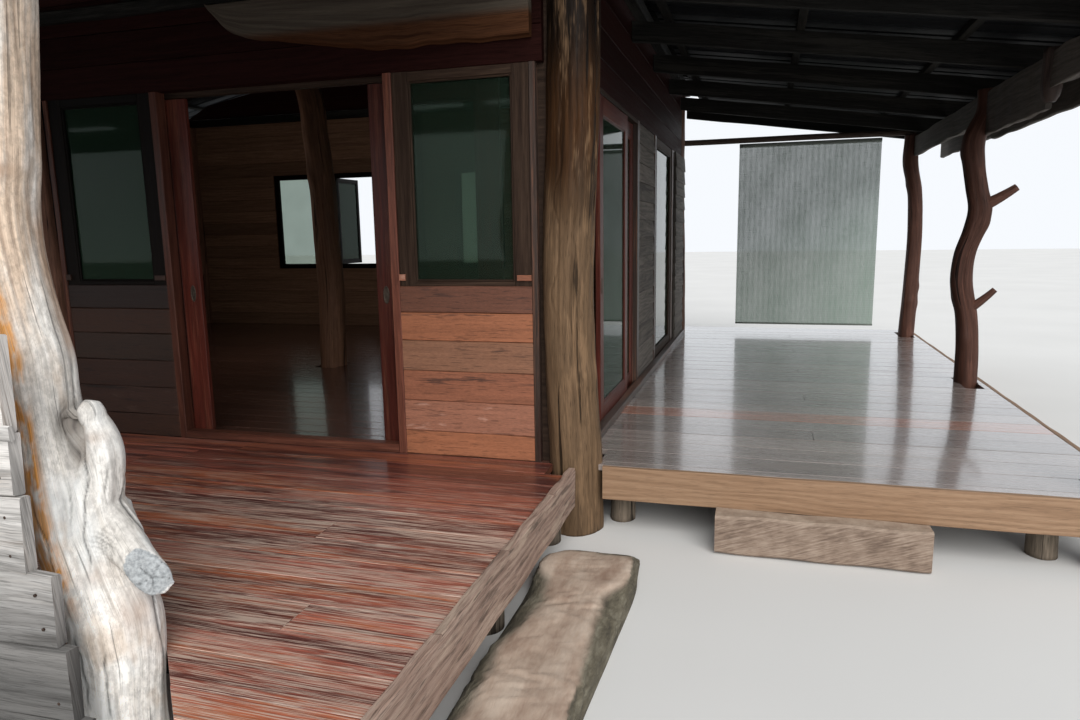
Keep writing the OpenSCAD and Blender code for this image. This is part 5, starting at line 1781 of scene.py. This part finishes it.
def woven_net():
    """See-through shade net, thinner where the threads lie slack."""
    net = Net("woven_shade_net")
    flat = net.flat()
    tall, wide, thread = weave(net, flat)
    slack = net.grain(flat, (3.0, 1.6, 1), 3.0)
    dense = tall * 0.07 + wide * 0.09 + thread * 0.32 + slack * 0.3
    tint = net.ramp(dense, (0.25, (0.15, 0.21, 0.17)), (0.75, (0.28, 0.38, 0.32)))
    return net.finish(tint, 0.8, thread, 0.0006, alpha=net.limit(dense * 0.75 + 0.42))


def woven_roll():
    """The same net rolled up, closed and darker."""
    net = Net("rolled_net")
    flat = net.flat()
    _, wide, thread = weave(net, flat)
    tint = net.ramp(thread * 0.5 + wide * 0.2, (0.3, (0.07, 0.08, 0.07)), (0.8, (0.22, 0.25, 0.22)))
    return net.finish(tint, 0.8, thread, 0.001)


CAMERA_SPOT = (1.00946, -4.16044, 1.70)
YAW, PITCH, ROLL = 0.284837, 0.163840, 0.016437
FOCAL = 766.08
PHOTO_WIDTH = 1080
SENSOR = 36.0
SKY_LEVEL = 0.62


class Stage(Piece):
    """Sets the floor, the soft light and the camera."""
    bl_idname, bl_label = "veranda_house.stage", "Stage"

    def build(self):
        scene = bpy.context.scene
        scene.view_settings.view_transform = "Standard"
        self.camera(scene)
        self.floor()
        self.light(scene)

    def camera(self, scene):
        """The view turns left by YAW, down by PITCH and rolls by ROLL."""
        level = np.array([-math.sin(YAW), math.cos(YAW), 0.0])
        ahead = level * math.cos(PITCH) - Z * math.sin(PITCH)
        side = np.array([math.cos(YAW), math.sin(YAW), 0.0])
        below = np.cross(ahead, side)
        right = math.cos(ROLL) * side + math.sin(ROLL) * below
        down = math.cos(ROLL) * below - math.sin(ROLL) * side
        data = bpy.data.cameras.new("view")
        data.sensor_width, data.lens = SENSOR, FOCAL / PHOTO_WIDTH * SENSOR
        data.clip_end = 200
        camera = bpy.data.objects.new("view", data)
        turn = np.eye(4)
        turn[:3, 0], turn[:3, 1], turn[:3, 2], turn[:3, 3] = right, -down, -ahead, CAMERA_SPOT
        camera.matrix_world = Matrix(turn.tolist())
        scene.collection.objects.link(camera)
        scene.camera = camera

    def floor(self):
        """A pale ground under the house."""
        net = Net("pale_floor")
        spot = net.place()
        net.finish(net.ramp(net.noise(spot, 0.6, 2.0), (0.3, (0.70, 0.70, 0.69)),
                            (0.7, (0.74, 0.74, 0.73))), 0.9)
        mesh = bpy.data.meshes.new("stage_floor")
        mesh.from_pydata([(-60, -50, -.001), (50, -50, -.001), (50, 60, -.001), (-60, 60, -.001)], [],
                         [(0, 1, 2, 3)])
        mesh.materials.append(net.owner)
        floor = bpy.data.objects.new("stage_floor", mesh)
        bpy.context.scene.collection.objects.link(floor)

    def light(self, scene):
        """Sky, a soft sun, and a lamp in the room that camera and mirror rays don't see."""
        net = Net("soft_sky", "worlds")
        seen = net.node("LightPath", out="Is Camera Ray")
        for ray in ("Is Glossy Ray", "Is Transmission Ray"):
            seen = net.node("Math", [seen, net.node("LightPath", out=ray)], operation="MAXIMUM")
        level = net.node("Mix", {0: seen, 2: SKY_LEVEL, 3: 1.0})
        net.node("OutputWorld", [net.node("Background",
                                          {"Color": (0.93, 0.96, 1.0, 1), "Strength": level})])
        scene.world = net.owner
        lamp = bpy.data.lights.new("soft_sun", "SUN")
        lamp.energy, lamp.angle, lamp.color = 3.1, math.radians(50), (1.0, 0.98, 0.95)
        sun = bpy.data.objects.new("soft_sun", lamp)
        sun.rotation_euler = (math.radians(58), 0, math.radians(25))
        scene.collection.objects.link(sun)
        lamp = bpy.data.lights.new("room_fill", "POINT")
        lamp.energy, lamp.shadow_soft_size, lamp.color = 30.0, 1.0, (1.0, 0.92, 0.84)
        fill = bpy.data.objects.new("room_fill", lamp)
        fill.location = (-BAY - .4, ROOM / 2, 2.1)
        fill.visible_camera = fill.visible_glossy = False
        scene.collection.objects.link(fill)


class HousePanel(bpy.types.Panel):
    """Lists the settings and the operators in the sidebar."""
    bl_idname, bl_label = "VIEW3D_PT_veranda_house", "Timber Veranda House"
    bl_space_type, bl_region_type, bl_category = "VIEW_3D", "UI", "House"

    def draw(self, context):
        settings = context.scene.veranda_house
        for name in VerandaHouseSettings.__annotations__:
            self.layout.prop(settings, name)
        for operator in OPERATORS:
            self.layout.operator(operator.bl_idname)


OPERATORS = (Stage, FrontDeck, SideTerrace, RoomFloor, Underfloor, EdgeLog, WallLogs, VerandaPosts,
             PorchLog, Parapet, FrontWall, Windows, SideWall, RearWalls, Leaves, OpenSash, Roof, Blind)


def register():
    for cls in (VerandaHouseSettings, *OPERATORS, HousePanel):
        bpy.utils.register_class(cls)
    bpy.types.Scene.veranda_house = PointerProperty(type=VerandaHouseSettings)


def unregister():
    del bpy.types.Scene.veranda_house
    for cls in reversed((VerandaHouseSettings, *OPERATORS, HousePanel)):
        bpy.utils.unregister_class(cls)


def main():
    """Builds every piece."""
    register()
    for operator in OPERATORS:
        group, name = operator.bl_idname.split(".")
        getattr(getattr(bpy.ops, group), name)()


if __name__ == "__main__":
    main()
